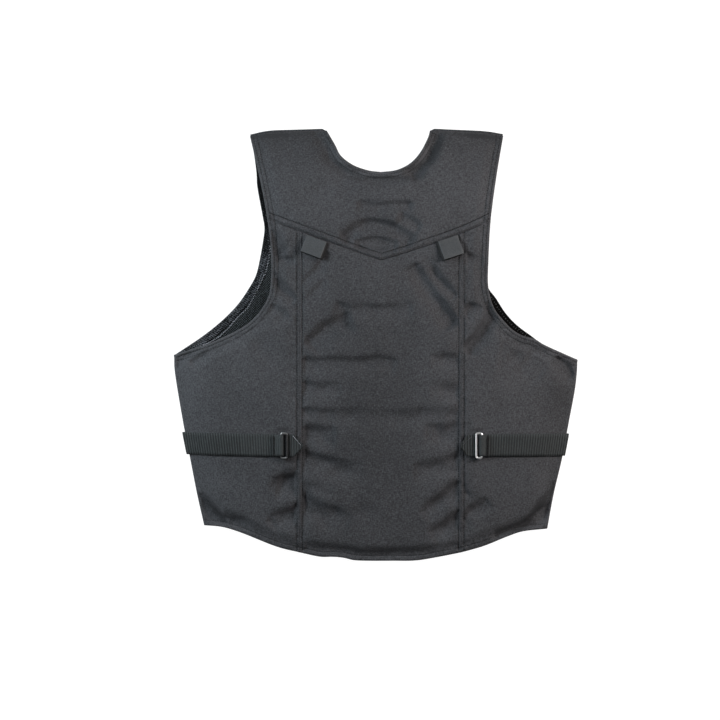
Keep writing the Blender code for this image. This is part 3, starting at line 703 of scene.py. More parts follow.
# %% The folds, by name
# Columns: name, how steep the cloth drops at the fold, how wide that drop is in millimetres, how
# strong the fold is at its two ends, and its route, with the high side on the left of the way along it
FOLDS = [
    ("yoke_line", 0.68, 6.5, 0.6, 0.9, [(-20, 208), (14, 206), (48, 208)]),
    ("yoke_arc", 1.23, 8.5, 0.6, 0.6, [(-46, 162), (-25, 177), (1, 181), (32, 173), (54, 157)]),
    ("yoke_low", 2.00, 7.0, 0.6, 0.6, [(-22, 153), (2, 155), (28, 151)]),
    ("yoke_slant", 0.60, 7.0, 1.4, 1.0, [(43, 191), (64, 178)]),
    ("neck_right", 0.55, 10.0, 0.7, 1.2, [(96, 305), (90, 284), (77, 260), (61, 243)]),
    ("neck_left", 0.25, 12.0, 0.7, 0.4, [(-72, 300), (-58, 278), (-42, 253), (-26, 237)]),
    ("yoke_left", 0.14, 9.0, 0.4, 0.4, [(-110, 217), (-78, 234), (-50, 243)]),
    ("shoulder_left", 0.10, 14.0, 0.4, 0.4, [(-165, 284), (-131, 294), (-95, 289)]),
    ("shoulder_right", 0.10, 12.0, 0.4, 0.4, [(109, 284), (138, 272), (165, 265)]),
    ("center_slant_a", 1.05, 7.5, 0.7, 1.5, [(62, 115), (83, 82), (117, 36)]),
    ("center_slant_b", 1.08, 6.0, 0.2, 0.5, [(81, 124), (97, 98), (118, 76)]),
    ("center_left_a", 0.67, 10.0, 0.9, 1.5, [(-99, 9), (-73, 30), (-44, 44)]),
    ("center_left_b", 0.57, 5.5, 0.4, 0.6, [(-104, 93), (-86, 115), (-74, 133)]),
    ("under_tab_left", 0.24, 6.0, 0.4, 1.2, [(-104, 65), (-90, 80), (-80, 92)]),
    ("channel_1", 0.35, 8.0, 0.9, 0.7, [(-50, 60), (-34, 54), (-15, 58), (14, 56), (46, 60)]),
    ("channel_2a", 0.42, 8.0, 1.4, 0.7, [(-101, -20), (-51, -20), (0, -18), (26, -21)]),
    ("channel_2b", 0.47, 9.0, 0.5, 0.7, [(89, -15), (105, -15), (120, -17)]),
    ("channel_3a", 0.40, 8.0, 1.4, 0.4, [(-101, -55), (-80, -57), (-57, -57)]),
    ("channel_3b", 0.26, 11.0, 0.5, 1.2, [(86, -58), (106, -58), (121, -58)]),
    ("channel_4", 0.27, 9.5, 1.3, 1.0, [(-101, -92), (-66, -96), (-22, -94), (29, -97), (80, -94),
                                        (121, -95)]),
    ("channel_5a", 0.78, 12.0, 1.0, 0.5, [(-101, -119), (-83, -121), (-64, -120)]),
    ("channel_5b", 0.71, 10.5, 0.4, 0.9, [(78, -118), (100, -119), (120, -115)]),
    ("strap_fan_left", 0.49, 11.0, 1.1, 0.3, [(-104, -156), (-89, -160), (-64, -167), (-37, -172),
                                              (-25, -172)]),
    ("strap_fan_right", 0.42, 10.5, 0.8, 1.5, [(62, -172), (80, -170), (97, -167), (119, -160)]),
    ("center_low_left_a", 0.16, 9.0, 1.3, 0.6, [(-103, -201), (-87, -204), (-69, -203)]),
    ("center_low_left_b", 0.52, 12.0, 1.3, 0.3, [(-103, -221), (-89, -228), (-64, -238), (-40, -246)]),
    ("center_low_right_a", 0.66, 9.5, 0.4, 1.0, [(69, -238), (97, -215), (119, -199)]),
    ("center_low_right_b", 0.58, 10.0, 0.6, 0.8, [(82, -268), (103, -254), (119, -243)]),
    ("center_low_mid", 0.10, 12.0, 0.3, 0.3, [(-34, -225), (-14, -234), (7, -237)]),
    ("hem_band", 0.22, 11.0, 0.3, 0.4, [(-113, -283), (-83, -290), (-35, -298), (7, -300), (53, -297),
                                        (94, -293), (118, -286)]),
    ("strap_edge_left", 0.02, 3.0, 1.0, 1.0, [(-278, -162.5), (-200, -162.5), (-129, -162.5)]),
    ("strap_edge_right", 0.04, 3.0, 1.0, 1.0, [(150, -162.5), (210, -162.5), (278, -162.5)]),
    ("side_right_cross", 2.30, 6.0, 1.2, 0.3, [(132, -2), (147, 16), (160, 40), (164, 60)]),
    ("side_right_pucker_a", 0.49, 6.0, 0.4, 0.4, [(129, 134), (141, 131), (153, 126)]),
    ("side_right_pucker_b", 0.20, 5.0, 0.6, 0.3, [(142, 122), (150, 119), (156, 114)]),
    ("side_right_pucker_c", 0.71, 6.5, 0.9, 0.6, [(130, 54), (139, 58), (150, 57)]),
    ("side_right_b", 0.14, 9.0, 0.5, 0.5, [(135, -10), (152, 0), (173, 22)]),
    ("side_left_cross", 1.35, 5.0, 0.3, 0.6, [(-141, 102), (-129, 83), (-117, 69)]),
    ("side_left_pucker_a", 0.55, 7.0, 0.8, 1.9, [(-145, 164), (-138, 154), (-132, 139)]),
    ("side_left_pucker_b", 1.40, 4.5, 0.3, 0.4, [(-139, 134), (-131, 127), (-121, 128)]),
    ("side_left_c", 0.50, 6.0, 1.1, 0.3, [(-144, 57), (-133, 48), (-123, 39)]),
    ("underarm_left_a", 0.60, 6.0, 0.6, 0.8, [(-258, -7), (-274, -19), (-287, -33)]),
    ("underarm_left_b", 0.55, 5.0, 1.2, 0.3, [(-267, -22), (-245, -10)]),
    ("underarm_right", 0.90, 7.0, 0.8, 0.8, [(272, -20), (280, -29), (290, -41)]),
    ("corner_left_a", 1.10, 6.5, 0.4, 1.2, [(-252, -219), (-236, -235), (-219, -255)]),
    ("corner_left_b", 0.38, 8.5, 0.5, 0.4, [(-212, -243), (-198, -251), (-182, -256)]),
    ("corner_right", 1.30, 7.0, 0.6, 0.7, [(176, -274), (203, -266), (215, -260), (226, -249),
                                           (250, -234), (258, -218), (262, -204)]),
    ("low_left_a", 0.56, 10.0, 0.7, 0.8, [(-152, -252), (-133, -241), (-115, -234)]),
    ("low_left_b", 1.80, 9.0, 0.2, 0.9, [(-144, -192), (-130, -194), (-115, -192)]),
    ("low_right_a", 0.49, 8.5, 0.5, 0.6, [(130, -241), (144, -233), (155, -224)]),
    ("low_right_b", 0.08, 8.0, 0.5, 0.5, [(130, -221), (138, -214), (144, -209)]),
    ("side_left_soft", 0.12, 12.0, 0.4, 0.4, [(-175, 22), (-146, 0), (-121, -10)]),
    ("side_right_soft", 0.28, 22.0, 0.4, 0.4, [(189, 0), (225, -7), (251, -25)]),
    ("strap_under_left", 0.14, 8.0, 0.4, 0.8, [(-134, -178), (-124, -183), (-115, -184)]),
]
print(len(FOLDS), "named folds")

# %% [markdown]
# To turn a route into a fold, each point of the cloth needs its distance from the route, with a sign
# for the side that it is on. One smooth step of that distance makes the drop and a wider one, further
# down, the rise. Smooth noise makes the route waver and the depth change along it, as in real cloth.

# %% Distances, folds and waves
BELOW, RISE = 2.7, 2.0           # the rise is this many widths below the drop, and this much wider
FADED = 0.005                    # past its end a fold fades over this distance, in metres
STEEPER = 1.8                    # for all the folds
HALF, SHARP = 0.68, 1.2          # half a drop's width as a share of the listed one, and how sharp it is
SWAY, SWAY_SIZE = 0.0022, 0.021  # how far a route wavers, and how long one such wave is
UNEVEN, UNEVEN_SIZE = 0.45, 0.017     # the same for the depth along a fold, as a share of it
# The folds were read in the picture, where the back looks larger because it is nearer to the camera
BACK_HEIGHT = 0.042
AXIS = np.array(camera.location[:2])
NEARER = (CAMERA_HEIGHT - BACK_HEIGHT) / (CAMERA_HEIGHT - FOLD_HEIGHT)


def nearest(points, route):
    """For each point its distance from a route, to the left of it as a positive number, how far it
    is past the route's ends, and how far along the route it is, from 0 to 1."""
    best = np.full(len(points), np.inf)
    beside, past, along = (np.zeros(len(points)) for _ in range(3))
    last = len(route) - 2
    for number, (start, end) in enumerate(zip(route, route[1:])):
        length = np.linalg.norm(end - start)
        step = (end - start) / length
        away = points - start
        run = away @ step
        off = step[0] * away[:, 1] - step[1] * away[:, 0]
        over = run - np.clip(run, 0, length)
        reach = np.hypot(off, over)
        nearer = reach < best
        best = np.where(nearer, reach, best)
        beside = np.where(nearer, np.copysign(reach, off), beside)
        along = np.where(nearer, (number + np.clip(run / length, 0, 1)) / (last + 1), along)
        beyond = np.maximum(-over, 0) * (number == 0) + np.maximum(over, 0) * (number == last)
        past = np.where(nearer, beyond, past)
    return beside, past, along


def distance(points, route):
    return np.abs(nearest(points, route)[0])


def smooth(t):
    t = np.clip(t, 0, 1)
    return t * t * (3 - 2 * t)


def waves(points, size, seed):
    """Smooth noise from -1 to 1 with waves of about this size in metres."""
    return np.array([noise.noise(Vector((x / size, y / size, seed))) for x, y in points])


def strength(along, first, last):
    """Of a fold along its way: from its first value to 1 in the middle, and to its last value."""
    return first + (1 - first) * smooth(along / 0.4) + (last - 1) * smooth((along - 0.6) / 0.4)


def folds(points):
    """How far the named folds lower the cloth; their routes waver as cloth does."""
    sway = np.column_stack([waves(points, SWAY_SIZE, 3.1), waves(points, SWAY_SIZE, 7.7)]) * SWAY
    uneven = 1 + UNEVEN * waves(points, UNEVEN_SIZE, 11.5)
    height = np.zeros(len(points))
    for _, steep, width, first, last, route in FOLDS:
        line = AXIS + (mm(*route) - AXIS) * NEARER
        beside, past, along = nearest(points + sway, curve(line, even(12)))
        reach = HALF * width / 1000
        drop = np.tanh(SHARP * beside / reach) - np.tanh(SHARP * (beside + BELOW * reach) / (RISE * reach))
        depth = STEEPER * steep * reach / SHARP * strength(along, first, last) * np.exp(-(past / FADED) ** 2)
        height += depth * uneven * drop
    return height


print("deepest fold at the yoke's arc:", round(1000 * folds(mm((-1, 180), (-1, 176))).min(), 1), "mm")

# %% [markdown]
# Each border of a pad has a kind. An edge is bound and stitched down flat, a seam holds two pads
# together, and a fold is where the back turns under. The yoke lies over the top of the panels below
# it, so that one seam has a kind for each of its sides. The kind says how thick the pad is there, as a
# share of its full thickness, and how it swells further in. The topstitching is the second list: how
# far from the border its lines run.

# %% Kinds of border
# Columns: share at the very border, share on the flat band, where the pad starts to swell and over
# what width it does, in millimetres
BORDERS = {
    "edge": (0.16, 0.52, 9.5, 15.0),
    "hem": (0.16, 0.52, 9.5, 15.0),
    "neck": (0.20, 0.66, 9.5, 12.0),
    "seam": (0.70, 0.76, 4.5, 15.0),
    "yoke": (0.46, 0.88, 8.5, 14.0),
    "top": (0.52, 0.80, 0.5, 14.0),
    "fold": (0.14, 0.50, 2.0, 34.0),
    "shoulder": (0.12, 0.44, 1.0, 26.0),
}
# Distances of the stitch lines from the border, in millimetres; one listed twice is pressed deeper
STITCHED = {"edge": (4.4, 10.0), "neck": (4.4, 9.2), "seam": (3.6, 4.4), "yoke": (2.2, 9.4, 9.4),
            "hem": (7.5,)}
GROOVE_DEPTH, GROOVE_WIDTH = 0.0008, 0.0007
PUCKER, PUCKER_REACH = 0.00075, 0.007     # small waves beside the stitch lines
PUCKER_SIZES = (0.0085, 1.3), (0.0042, 4.2)    # their two sizes, each with a seed
ROUNDING = 0.0009                # from the very border the flat band is reached over this distance
BLEND = 7.0                      # the higher this is, the less borders far away count
HELD_FLAT = 0.009                # folds fade out over this last distance to a border
# The pad stops short of the neck band, which leaves a soft dip: its depth, place and width
NECK_DIP, DIP_AT, DIP_WIDTH = 0.0034, 0.0155, 0.0062
DEEPEST = 0.80                   # share of a pad's thickness that a fold can press it down
BILLOWS = [(0.0018, 0.065, 9.0), (0.0007, 0.024, 5.0)]    # height, size and seed of wide soft waves


def swell(points, borders):
    """Share of the full thickness, how far the stitching presses down, and the nearest border."""
    total = np.zeros(len(points))
    pressed = np.zeros(len(points))
    closest = np.full(len(points), 1.0)
    small, fine = (waves(points, size, seed) for size, seed in PUCKER_SIZES)
    for kind, route in borders:
        away = distance(points, route)
        closest = np.minimum(closest, away)
        border, band, start, width = BORDERS[kind]
        share = (border + (band - border) * (1 - np.exp(-away / ROUNDING))
                 + (1 - band) * smooth((away * 1000 - start) / width))
        total += share ** -BLEND
        for line in STITCHED.get(kind, ()):
            from_line = np.abs(away - line / 1000)
            pressed -= GROOVE_DEPTH * np.exp(-(from_line / GROOVE_WIDTH) ** 2)
            pressed += PUCKER * np.exp(-from_line / PUCKER_REACH) * (small + 0.5 * fine)
        if kind == "neck":
            pressed -= NECK_DIP * np.exp(-((away - DIP_AT) / DIP_WIDTH) ** 2)
    return (total - len(borders) + 1) ** (-1 / BLEND), pressed, closest


def pad_heights(flat, borders, middle, thickness):
    """Heights of the upper and the lower face of a pad over a flat patch."""
    points = flat.reshape(-1, 2)
    mid = middle(points[:, 0], points[:, 1])
    share, pressed, closest = swell(points, borders)
    inside = 0.1 + 0.9 * smooth(closest / HELD_FLAT)
    relief = sum((high * waves(points, size, seed) for high, size, seed in BILLOWS), folds(points))
    deepest = DEEPEST * thickness * share + 0.0015
    relief = np.where(relief < 0, deepest * np.tanh(relief / deepest), relief)
    upper = mid + thickness / 2 * share + pressed + relief * inside
    lower = mid - thickness / 2 * share
    return upper.reshape(flat.shape[:2]), np.minimum(lower, upper - 0.001).reshape(flat.shape[:2])


print("kinds of border:", list(BORDERS))

# %% [markdown]
# ## The back
#
# The yoke is one pad from armhole to armhole. Its lower border is the pointed seam, and its upper one
# follows the shoulder, the neck and the other shoulder, so the two halves are laid as separate patches
# that meet in the middle. The centre panel and the two side panels fill what is below it. A line that
# is listed from left to right is turned round by [::-sign] or [::sign] where the other half needs it.

# %% Yoke, centre panel and side panels
SEAM_GAP = 0.00015
SHOULDER_PART = 0.53             # share of a half yoke's columns that end at the shoulder


def arm_part(sign, y, upper):
    """The stretch of the back's armhole above or below a height, from the top down."""
    line = ARM_LINE[sign]
    cut = [np.interp(-y, -line[:, 1], line[:, 0]), y]
    return np.vstack([line[line[:, 1] > y], [cut]]) if upper else np.vstack([[cut], line[line[:, 1] < y]])


def make_yoke():
    wide, long = PAD_SIZE["half_yoke"]
    u, v = cells(wide, COLUMN, end=False), cells(long, ROW)
    split = round(SHOULDER_PART * (len(u) - 1))
    halves = []
    for sign in (-1, 1):
        top = one_side(SHOULDER[sign][::-sign], NECK[sign][::-sign], u, split)
        seam = YOKE_LINE[::-sign][:len(YOKE_LINE) // 2 + 1]
        bottom = curve(seam, u) + [0, SEAM_GAP / 2]
        outer = curve(arm_part(sign, seam[0][1], True)[::-1], v)
        outer[0], outer[-1] = bottom[0], top[0]
        halves.append(patch(bottom, top, outer, straight(bottom[-1], top[-1], v), u, v))
    flat = np.concatenate([halves[0], halves[1][-2::-1]])
    borders = [("yoke", YOKE_LINE), ("neck", NECK_LINE), ("edge", ARM_LINE[-1]), ("edge", ARM_LINE[1]),
               ("shoulder", SHOULDER[-1]), ("shoulder", SHOULDER[1])]
    upper, lower = pad_heights(flat, borders, back_mid, PAD_BACK)
    return dress(closed_pad("yoke", flat, upper, lower, BACK_CLOTH), "back_cloth", "back_yoke")


def make_center():
    wide, long = PAD_SIZE["center"]
    u, v = cells(wide, COLUMN), cells(long, ROW)
    inner = (YOKE_LINE[:, 0] > PRINCESS[-1]) & (YOKE_LINE[:, 0] < PRINCESS[1])
    seam = np.vstack([at(YOKE_LINE, PRINCESS[-1]), YOKE_LINE[inner], at(YOKE_LINE, PRINCESS[1])])
    top, bottom = curve(seam, u) - [0, SEAM_GAP / 2], curve(HEM_CENTER, u)
    for border in (top, bottom):
        border[[0, -1], 0] += [SEAM_GAP / 2, -SEAM_GAP / 2]
    left, right = (straight(bottom[end], top[end], v) for end in (0, -1))
    flat = patch(bottom, top, left, right, u, v)
    borders = [("top", YOKE_LINE), ("seam", PRINCESS_LINE[-1]), ("seam", PRINCESS_LINE[1]),
               ("hem", HEM_LINE)]
    upper, lower = pad_heights(flat, borders, back_mid, PAD_BACK)
    return dress(closed_pad("center_panel", flat, upper, lower, BACK_CLOTH), "back_cloth", "back_center")


def make_side(sign, side):
    wide, long = PAD_SIZE["side"]
    u, v = cells(wide, COLUMN), cells(long, ROW)
    beyond = sign * (YOKE_LINE[:, 0] - PRINCESS[sign]) > 0
    seam = np.vstack([YOKE_LINE[beyond][::-sign], at(YOKE_LINE, PRINCESS[sign])])
    shift = np.array([sign * SEAM_GAP / 2, -SEAM_GAP / 2])
    top = curve(seam, u) + shift
    bottom = curve(HEM[sign], u) + [shift[0], 0]
    outer = curve(joined(arm_part(sign, seam[0][1], False), SIDE_LINE[sign])[::-1], v)
    outer[0], outer[-1] = bottom[0], top[0]
    flat = patch(bottom, top, outer, straight(bottom[-1], top[-1], v), u, v)
    borders = [("top", YOKE_LINE), ("seam", PRINCESS_LINE[sign]), ("edge", ARM_LINE[sign]),
               ("fold", SIDE_LINE[sign]), ("hem", HEM_LINE)]
    upper, lower = pad_heights(flat, borders, back_mid, PAD_BACK)
    pad = closed_pad("side_panel_" + side, flat, upper, lower, BACK_CLOTH)
    return dress(pad, "back_cloth", "back_side_" + side)


BACK = [make_yoke(), make_center(), make_side(-1, "left"), make_side(1, "right")]
for pad in BACK:
    print(pad.name, len(pad.data.polygons), "faces")

# %% [markdown]
# The front halves lie underneath, with the fastening closed between them. From above they show only as
# a thin edge along the shoulders and as a crescent in each armhole, so wider cells will do for them.

# %% Front halves
ZIP_WIDTH = 0.0070
FRONT_CELL = 0.0050
FRONT_NECK_Y = 0.190             # the front's neck is cut lower than the back's
NECK_PART = 0.62                 # share of the columns that end at the neck
SHOULDER_SHOWS, HEM_HIDES = 0.0035, 0.004    # how far the front shows past the back, or stays inside


def front_patch(sign):
    """The flat patch of one front half, from the fastening to the side fold, and its borders."""
    zip_x = CENTER_X + sign * (ZIP_WIDTH / 2 + SEAM_GAP)
    shoulder = SHOULDER[sign][::sign]
    corner = shoulder[0]
    neck = np.array([(zip_x, FRONT_NECK_Y), (zip_x + sign * 0.040, FRONT_NECK_Y + 0.025),
                     (corner[0] - sign * 0.004, FRONT_NECK_Y + 0.080), corner])
    hem = np.vstack([at(HEM_LINE, zip_x), HEM_LINE[sign * (HEM_LINE[:, 0] - zip_x) > 0][::sign]])
    arm = curve(FRONT_ARMHOLE[sign], even(60))
    wide, long = PAD_SIZE["front"]
    u, v = cells(wide, FRONT_CELL), cells(long, FRONT_CELL)
    split = round(NECK_PART * (len(u) - 1))
    top, bottom = one_side(neck, shoulder, u, split), curve(hem, u)
    top[split + 1:, 1] += SHOULDER_SHOWS
    bottom[:, 1] += HEM_HIDES * np.minimum(1, 8 * (1 - u))
    inner, outer = straight(bottom[0], top[0], v), curve(joined(arm, SIDE_LINE[sign])[::-1], v)
    outer[0], outer[-1] = bottom[-1], top[-1]
    borders = [("seam", inner[::8]), ("neck", curve(neck, even(20))), ("edge", arm),
               ("fold", SIDE_LINE[sign]), ("hem", bottom[::4]), ("shoulder", shoulder + [0, SHOULDER_SHOWS])]
    return patch(bottom, top, inner, outer, u, v), borders


def make_front(sign, side):
    """One front half, whose topstitching is on its lower face; its flat points and upper heights."""
    flat, borders = front_patch(sign)
    points = flat.reshape(-1, 2)
    mid = front_mid(points[:, 0], points[:, 1])
    share, pressed, _ = swell(points, borders)
    upper = (mid + PAD_FRONT / 2 * share).reshape(flat.shape[:2])
    lower = (mid - PAD_FRONT / 2 * share - np.minimum(pressed, 0)).reshape(flat.shape[:2])
    pad = dress(closed_pad("front_half_" + side, flat, upper, lower, FRONT_CLOTH), "front_cloth",
                "front_" + side)
    return flat, upper


SIDES = ((-1, "left"), (1, "right"))
FRONT = {side: make_front(sign, side) for sign, side in SIDES}
frame["nodes"]["front_zip"].data.materials[0] = ZIP_PLASTIC
print("front halves:", {side: "x".join(map(str, upper.shape)) for side, (_, upper) in FRONT.items()})

# %% [markdown]
# ## Thin cloth on top of the pads
#
# The lining, the facing, the webbing and the tabs are thin, so each is a sheet of points that a
# Solidify modifier thickens to both sides. A vertex group can make it thinner in places. To lay one
# piece on another, rays are sent straight down on to the pieces below, which gives their height.


def thin_cloth(name, points, thickness, material, shares=None, grooves=None, groove_shade_material=None):
    """A sheet of points in space, thinner by shares; its groove faces get a material of their own, a darker
    one as painted shade.
    """
    faces, _ = grid_faces(*points.shape[:2])
    piece = finish_mesh(name, points.reshape(-1, 3), faces, material)
    if grooves is not None:
        piece.data.materials.append(groove_shade_material)
        for face, groove in zip(piece.data.polygons, np.tile(grooves, len(points) - 1)):
            face.material_index = int(groove)
    group = piece.vertex_groups.new(name="thickness")
    weights = np.ones(points.shape[:2]) if shares is None else shares
    for number, weight in enumerate(weights.ravel()):
        group.add([number], float(weight), "REPLACE")
    shell = piece.modifiers.new("thickness", "SOLIDIFY")
    shell.thickness, shell.offset, shell.vertex_group = thickness, 0, group.name
    bpy.context.view_layer.objects.active = piece
    bpy.ops.object.modifier_apply(modifier=shell.name)
    return piece


class Skin:
    """The upper surface of some pieces, to lay others on."""

    def __init__(self, pieces):
        points, faces = [], []
        for piece in pieces:
            base = len(points)
            points += [v.co.copy() for v in piece.data.vertices]
            faces += [[base + i for i in p.vertices] for p in piece.data.polygons]
        self.tree = BVHTree.FromPolygons(points, faces)

    def height(self, x, y, default=None):
        hit, _, _, _ = self.tree.ray_cast(Vector((x, y, 1.0)), Vector((0, 0, -1)))
        return default if hit is None else hit.z

    def heights(self, points, default=0.0):
        return np.array([self.height(x, y, default) for x, y in points])


def offset(route, away, towards):
    """The line that runs at a distance beside a route, on the side of the point towards."""
    step = np.gradient(route, axis=0)
    normal = np.column_stack([-step[:, 1], step[:, 0]]) / np.hypot(*step.T)[:, None]
    middle = len(route) // 2
    normal *= np.sign(normal[middle] @ (np.array(towards) - route[middle]))
    line = route + normal * away
    return line[distance(line, route) > away * 0.98]


# Points that say on which side of a line the line beside it runs
NECK_END, MIDDLE, LOW_MIDDLE = (0.0, 0.3), (0.0, 0.0), (0.0, -0.15)
BACK_SKIN = Skin(BACK)
print("the back's middle is", round(1000 * BACK_SKIN.height(*MIDDLE), 1), "mm up")

# %% [markdown]
# The lining is laid on the inner face of each front half and stops a little inside its edges. The
# facing is a ribbed strip sewn along the armhole. Its inner edge lies over the lining, and small waves
# along it are its ribs.

# %% Lining and facing
CLOTH, LAID = 0.001, 0.0004      # the lining's thickness, and its distance above the pad
FACING_STARTS, FACING_WIDTH = 0.0010, 0.0115    # from the armhole's edge
FACING_LAID, OVER_LINING = 0.0009, 0.0013       # its distance above the pad, and more over the lining
RIB_HEIGHT, RIB_TURN = 0.0004, 1.9    # of the facing's ribs: height, and turn from point to point
FACING_STEPS = 300


def make_inside(sign, side):
    """The mesh lining and the ribbed facing on the inner face of one front half."""
    flat, upper = FRONT[side]
    lining = np.dstack([flat, upper + LAID + CLOTH / 2])[3:-8, 3:-9]
    piece = thin_cloth("lining_" + side, lining, CLOTH, MESH)
    dress(piece, "mesh_lining", "front_lining_" + side)
    skin = Skin([bpy.data.objects["front_half_" + side]])
    arm = curve(FRONT_ARMHOLE[sign], even(FACING_STEPS))[8:-10]
    ribs = RIB_HEIGHT * np.sin(np.arange(FACING_STEPS + 1) * RIB_TURN)
    strip = []
    for away in np.linspace(FACING_STARTS, FACING_WIDTH, 10):
        line = curve(offset(arm, away, LOW_MIDDLE), even(FACING_STEPS))
        over_lining = OVER_LINING * smooth((away - 0.0055) / 0.003)
        strip.append(np.column_stack([line, skin.heights(line, 0.014) + FACING_LAID + over_lining + ribs]))
    strip = np.array(strip)
    facing = thin_cloth("facing_" + side, strip, CLOTH, FACING_CLOTH[side])
    dress(facing, "front_cloth", "armhole_facing_" + side)
    length = float(np.linalg.norm(np.diff(strip[0], axis=0), axis=1).sum())
    return length


for sign, side in SIDES:
    print("the", side, "facing is", round(1000 * make_inside(sign, side)), "mm long")

# %% [markdown]
# ## Topstitching
#
# The seams and edges of the real vest are topstitched, most of them with thread as dark as the cloth
# or darker. Light thread shows only on the left facing, and beside the left ring as a painted highlight.
# Each stitch is a short thread that dips into the cloth at both ends. So a stitch is a small tapered prism
# with five sides, and all those of a seam make one mesh, at an even pitch and turned to follow the line.

# %% A row of stitches as one mesh
STITCH, PITCH, THREAD_RADIUS = 0.0024, 0.0036, 0.00040
STITCH_SIDES = 5
# Rings of points from end to end: place as a share of the length, then thickness and rise in radii
STITCH_RINGS = [(-0.5, 0.35, -0.5), (-0.28, 1.0, 0.4), (0.28, 1.0, 0.4), (0.5, 0.35, -0.5)]


def stitch_mesh(name, ends, material, radius):
    """One mesh with a stitch for each pair of end points."""
    sides, last = STITCH_SIDES, len(STITCH_RINGS) - 1
    turns = np.arange(sides) * 2 * math.pi / sides
    points, faces = [], []
    for start, end in ends:
        run = end - start
        length = np.linalg.norm(run)
        run = run / length
        across = np.cross([0, 0, 1], run)
        across /= np.linalg.norm(across)
        up = np.cross(run, across)
        base = len(points)
        for share, thick, rise in STITCH_RINGS:
            middle = (start + end) / 2 + run * length * share + up * radius * rise
            for turn in turns:
                points.append(middle + radius * thick * (across * math.cos(turn) + up * math.sin(turn)))
        for ring in range(last):
            for side in range(sides):
                a, b = base + ring * sides + side, base + ring * sides + (side + 1) % sides
                faces.append([a, b, b + sides, a + sides])
        faces += [[base + s for s in reversed(range(sides))],
                  [base + last * sides + s for s in range(sides)]]
    mesh = bpy.data.meshes.new(name)
    mesh.from_pydata([p.tolist() for p in points], [], faces)
    mesh.shade_smooth()
    mesh.materials.append(material)
    return link(bpy.data.objects.new(name, mesh))


def sew(name, lines, skin=BACK_SKIN, material=THREAD_YARN, slot="back_cloth", pitch=PITCH,
        stitch=STITCH, radius=THREAD_RADIUS):
    """Stitches along lines of points in space, or of x, y points that are laid on a skin."""
    ends = []
    for line in lines:
        steps = np.linalg.norm(np.diff(line, axis=0), axis=1)
        reach = np.concatenate([[0], np.cumsum(steps)])
        for number in range(int(steps.sum() / pitch)):
            marks = (number + 0.5) * pitch + np.array([-stitch, stitch]) / 2
            pair = [np.array([np.interp(m, reach, axis) for axis in line.T]) for m in marks]
            if line.shape[1] == 2:
                tall = [skin.height(*p) for p in pair]
                if None in tall or abs(tall[0] - tall[1]) > stitch:
                    continue
                pair = [np.append(p, z + radius * 0.5) for p, z in zip(pair, tall)]
            ends.append(pair)
    dress(stitch_mesh(name, ends, material, radius), slot)
    return len(ends)


print("a stitch has", STITCH_SIDES * len(STITCH_RINGS), "points")

# %% [markdown]
# The rows run where the grooves were pressed. The two rows of each princess seam, the long seam from
# the yoke to the hem, are placed by themselves, because they don't lie evenly beside it. The light seam
# of the left facing goes to and fro, so it is two rows close together, one shifted against the other.

# %% The rows of the back and the facing
PRINCESS_OUT, PRINCESS_IN = 0.0033, 0.0042    # the rows' distances from the seam
FACING_SEAM = mm((-152.5, 147), (-157.3, 116), (-164.3, 96), (-176.8, 71.5), (-186.6, 54),
                 (-200, 41), (-217, 22), (-231, 10), (-258, -4))
count = sew("stitches_yoke", [offset(YOKE_LINE, 0.0022, NECK_END)])
count += sew("stitches_yoke_upper", [offset(YOKE_LINE, 0.0094, NECK_END)], material=BLACK,
             pitch=0.0030, stitch=0.0027, radius=0.0005)
count += sew("stitches_neck", [offset(NECK_LINE, d / 1000, MIDDLE) for d in STITCHED["neck"]],
             material=BLACK)
for sign, side in SIDES:
    rows = [offset(ARM_LINE[sign], d / 1000, LOW_MIDDLE) for d in STITCHED["edge"]]
    count += sew("stitches_armhole_" + side, rows, material=BLACK)
    princess = np.linspace(PRINCESS_LINE[sign][0] - [0, 0.002], PRINCESS_LINE[sign][1] + [0, 0.003], 60)
    rows = [princess + [sign * PRINCESS_OUT, 0], princess - [sign * PRINCESS_IN, 0]]
    count += sew("stitches_princess_" + side, rows, material=BLACK, pitch=0.0034, radius=0.00043)
count += sew("stitches_hem", [offset(HEM_LINE, 0.0075, MIDDLE)])
inside_left = Skin([bpy.data.objects["facing_left"], bpy.data.objects["lining_left"]])
facing_seam = curve(FACING_SEAM, even(160))
zigzag = [facing_seam + [0.0006, 0.0], facing_seam[1:] - [0.0006, 0.0]]
count += sew("stitches_facing", zigzag, inside_left, LIGHT_THREAD, "front_cloth", pitch=0.0043,
             stitch=0.0018, radius=0.0007)
print(count, "stitches on the back and the left facing")

# %% [markdown]
# ## Straps, rings and anchors
#
# Each adjusting strap comes round the side fold from the front, runs over the side panel, folds round
# a metal ring and is sewn back on itself. A pointed anchor holds the ring's other side and is sewn
# over the seam. Ring, loop and anchor lie on one small tilted plane on the padded cloth, so that plane
# comes first: places on it are given by their distance from its inner side, and all else follows.

# %% The seat of a ring
WEBBING, STRAP_WIDTH, LOOP_WIDTH = 0.0016, 0.0320, 0.0303
RING_WIRE, RING_WIDTH, RING_HEIGHT, RING_CORNER = 0.0014, 0.0112, 0.0385, 0.0024
RING_FLAT = 0.0015               # half the width of the slightly flattened wire
RING_X = {-1: -0.1256, 1: 0.1430}
STRAP_GAP = 0.0007
LOOP_RADIUS = RING_WIRE + STRAP_GAP + WEBBING / 2
TAIL_END = {-1: 0.0215, 1: 0.0188}    # where the loop's sewn end lies
RUN_START = 0.0260               # the seat ends here and the strap follows the cloth


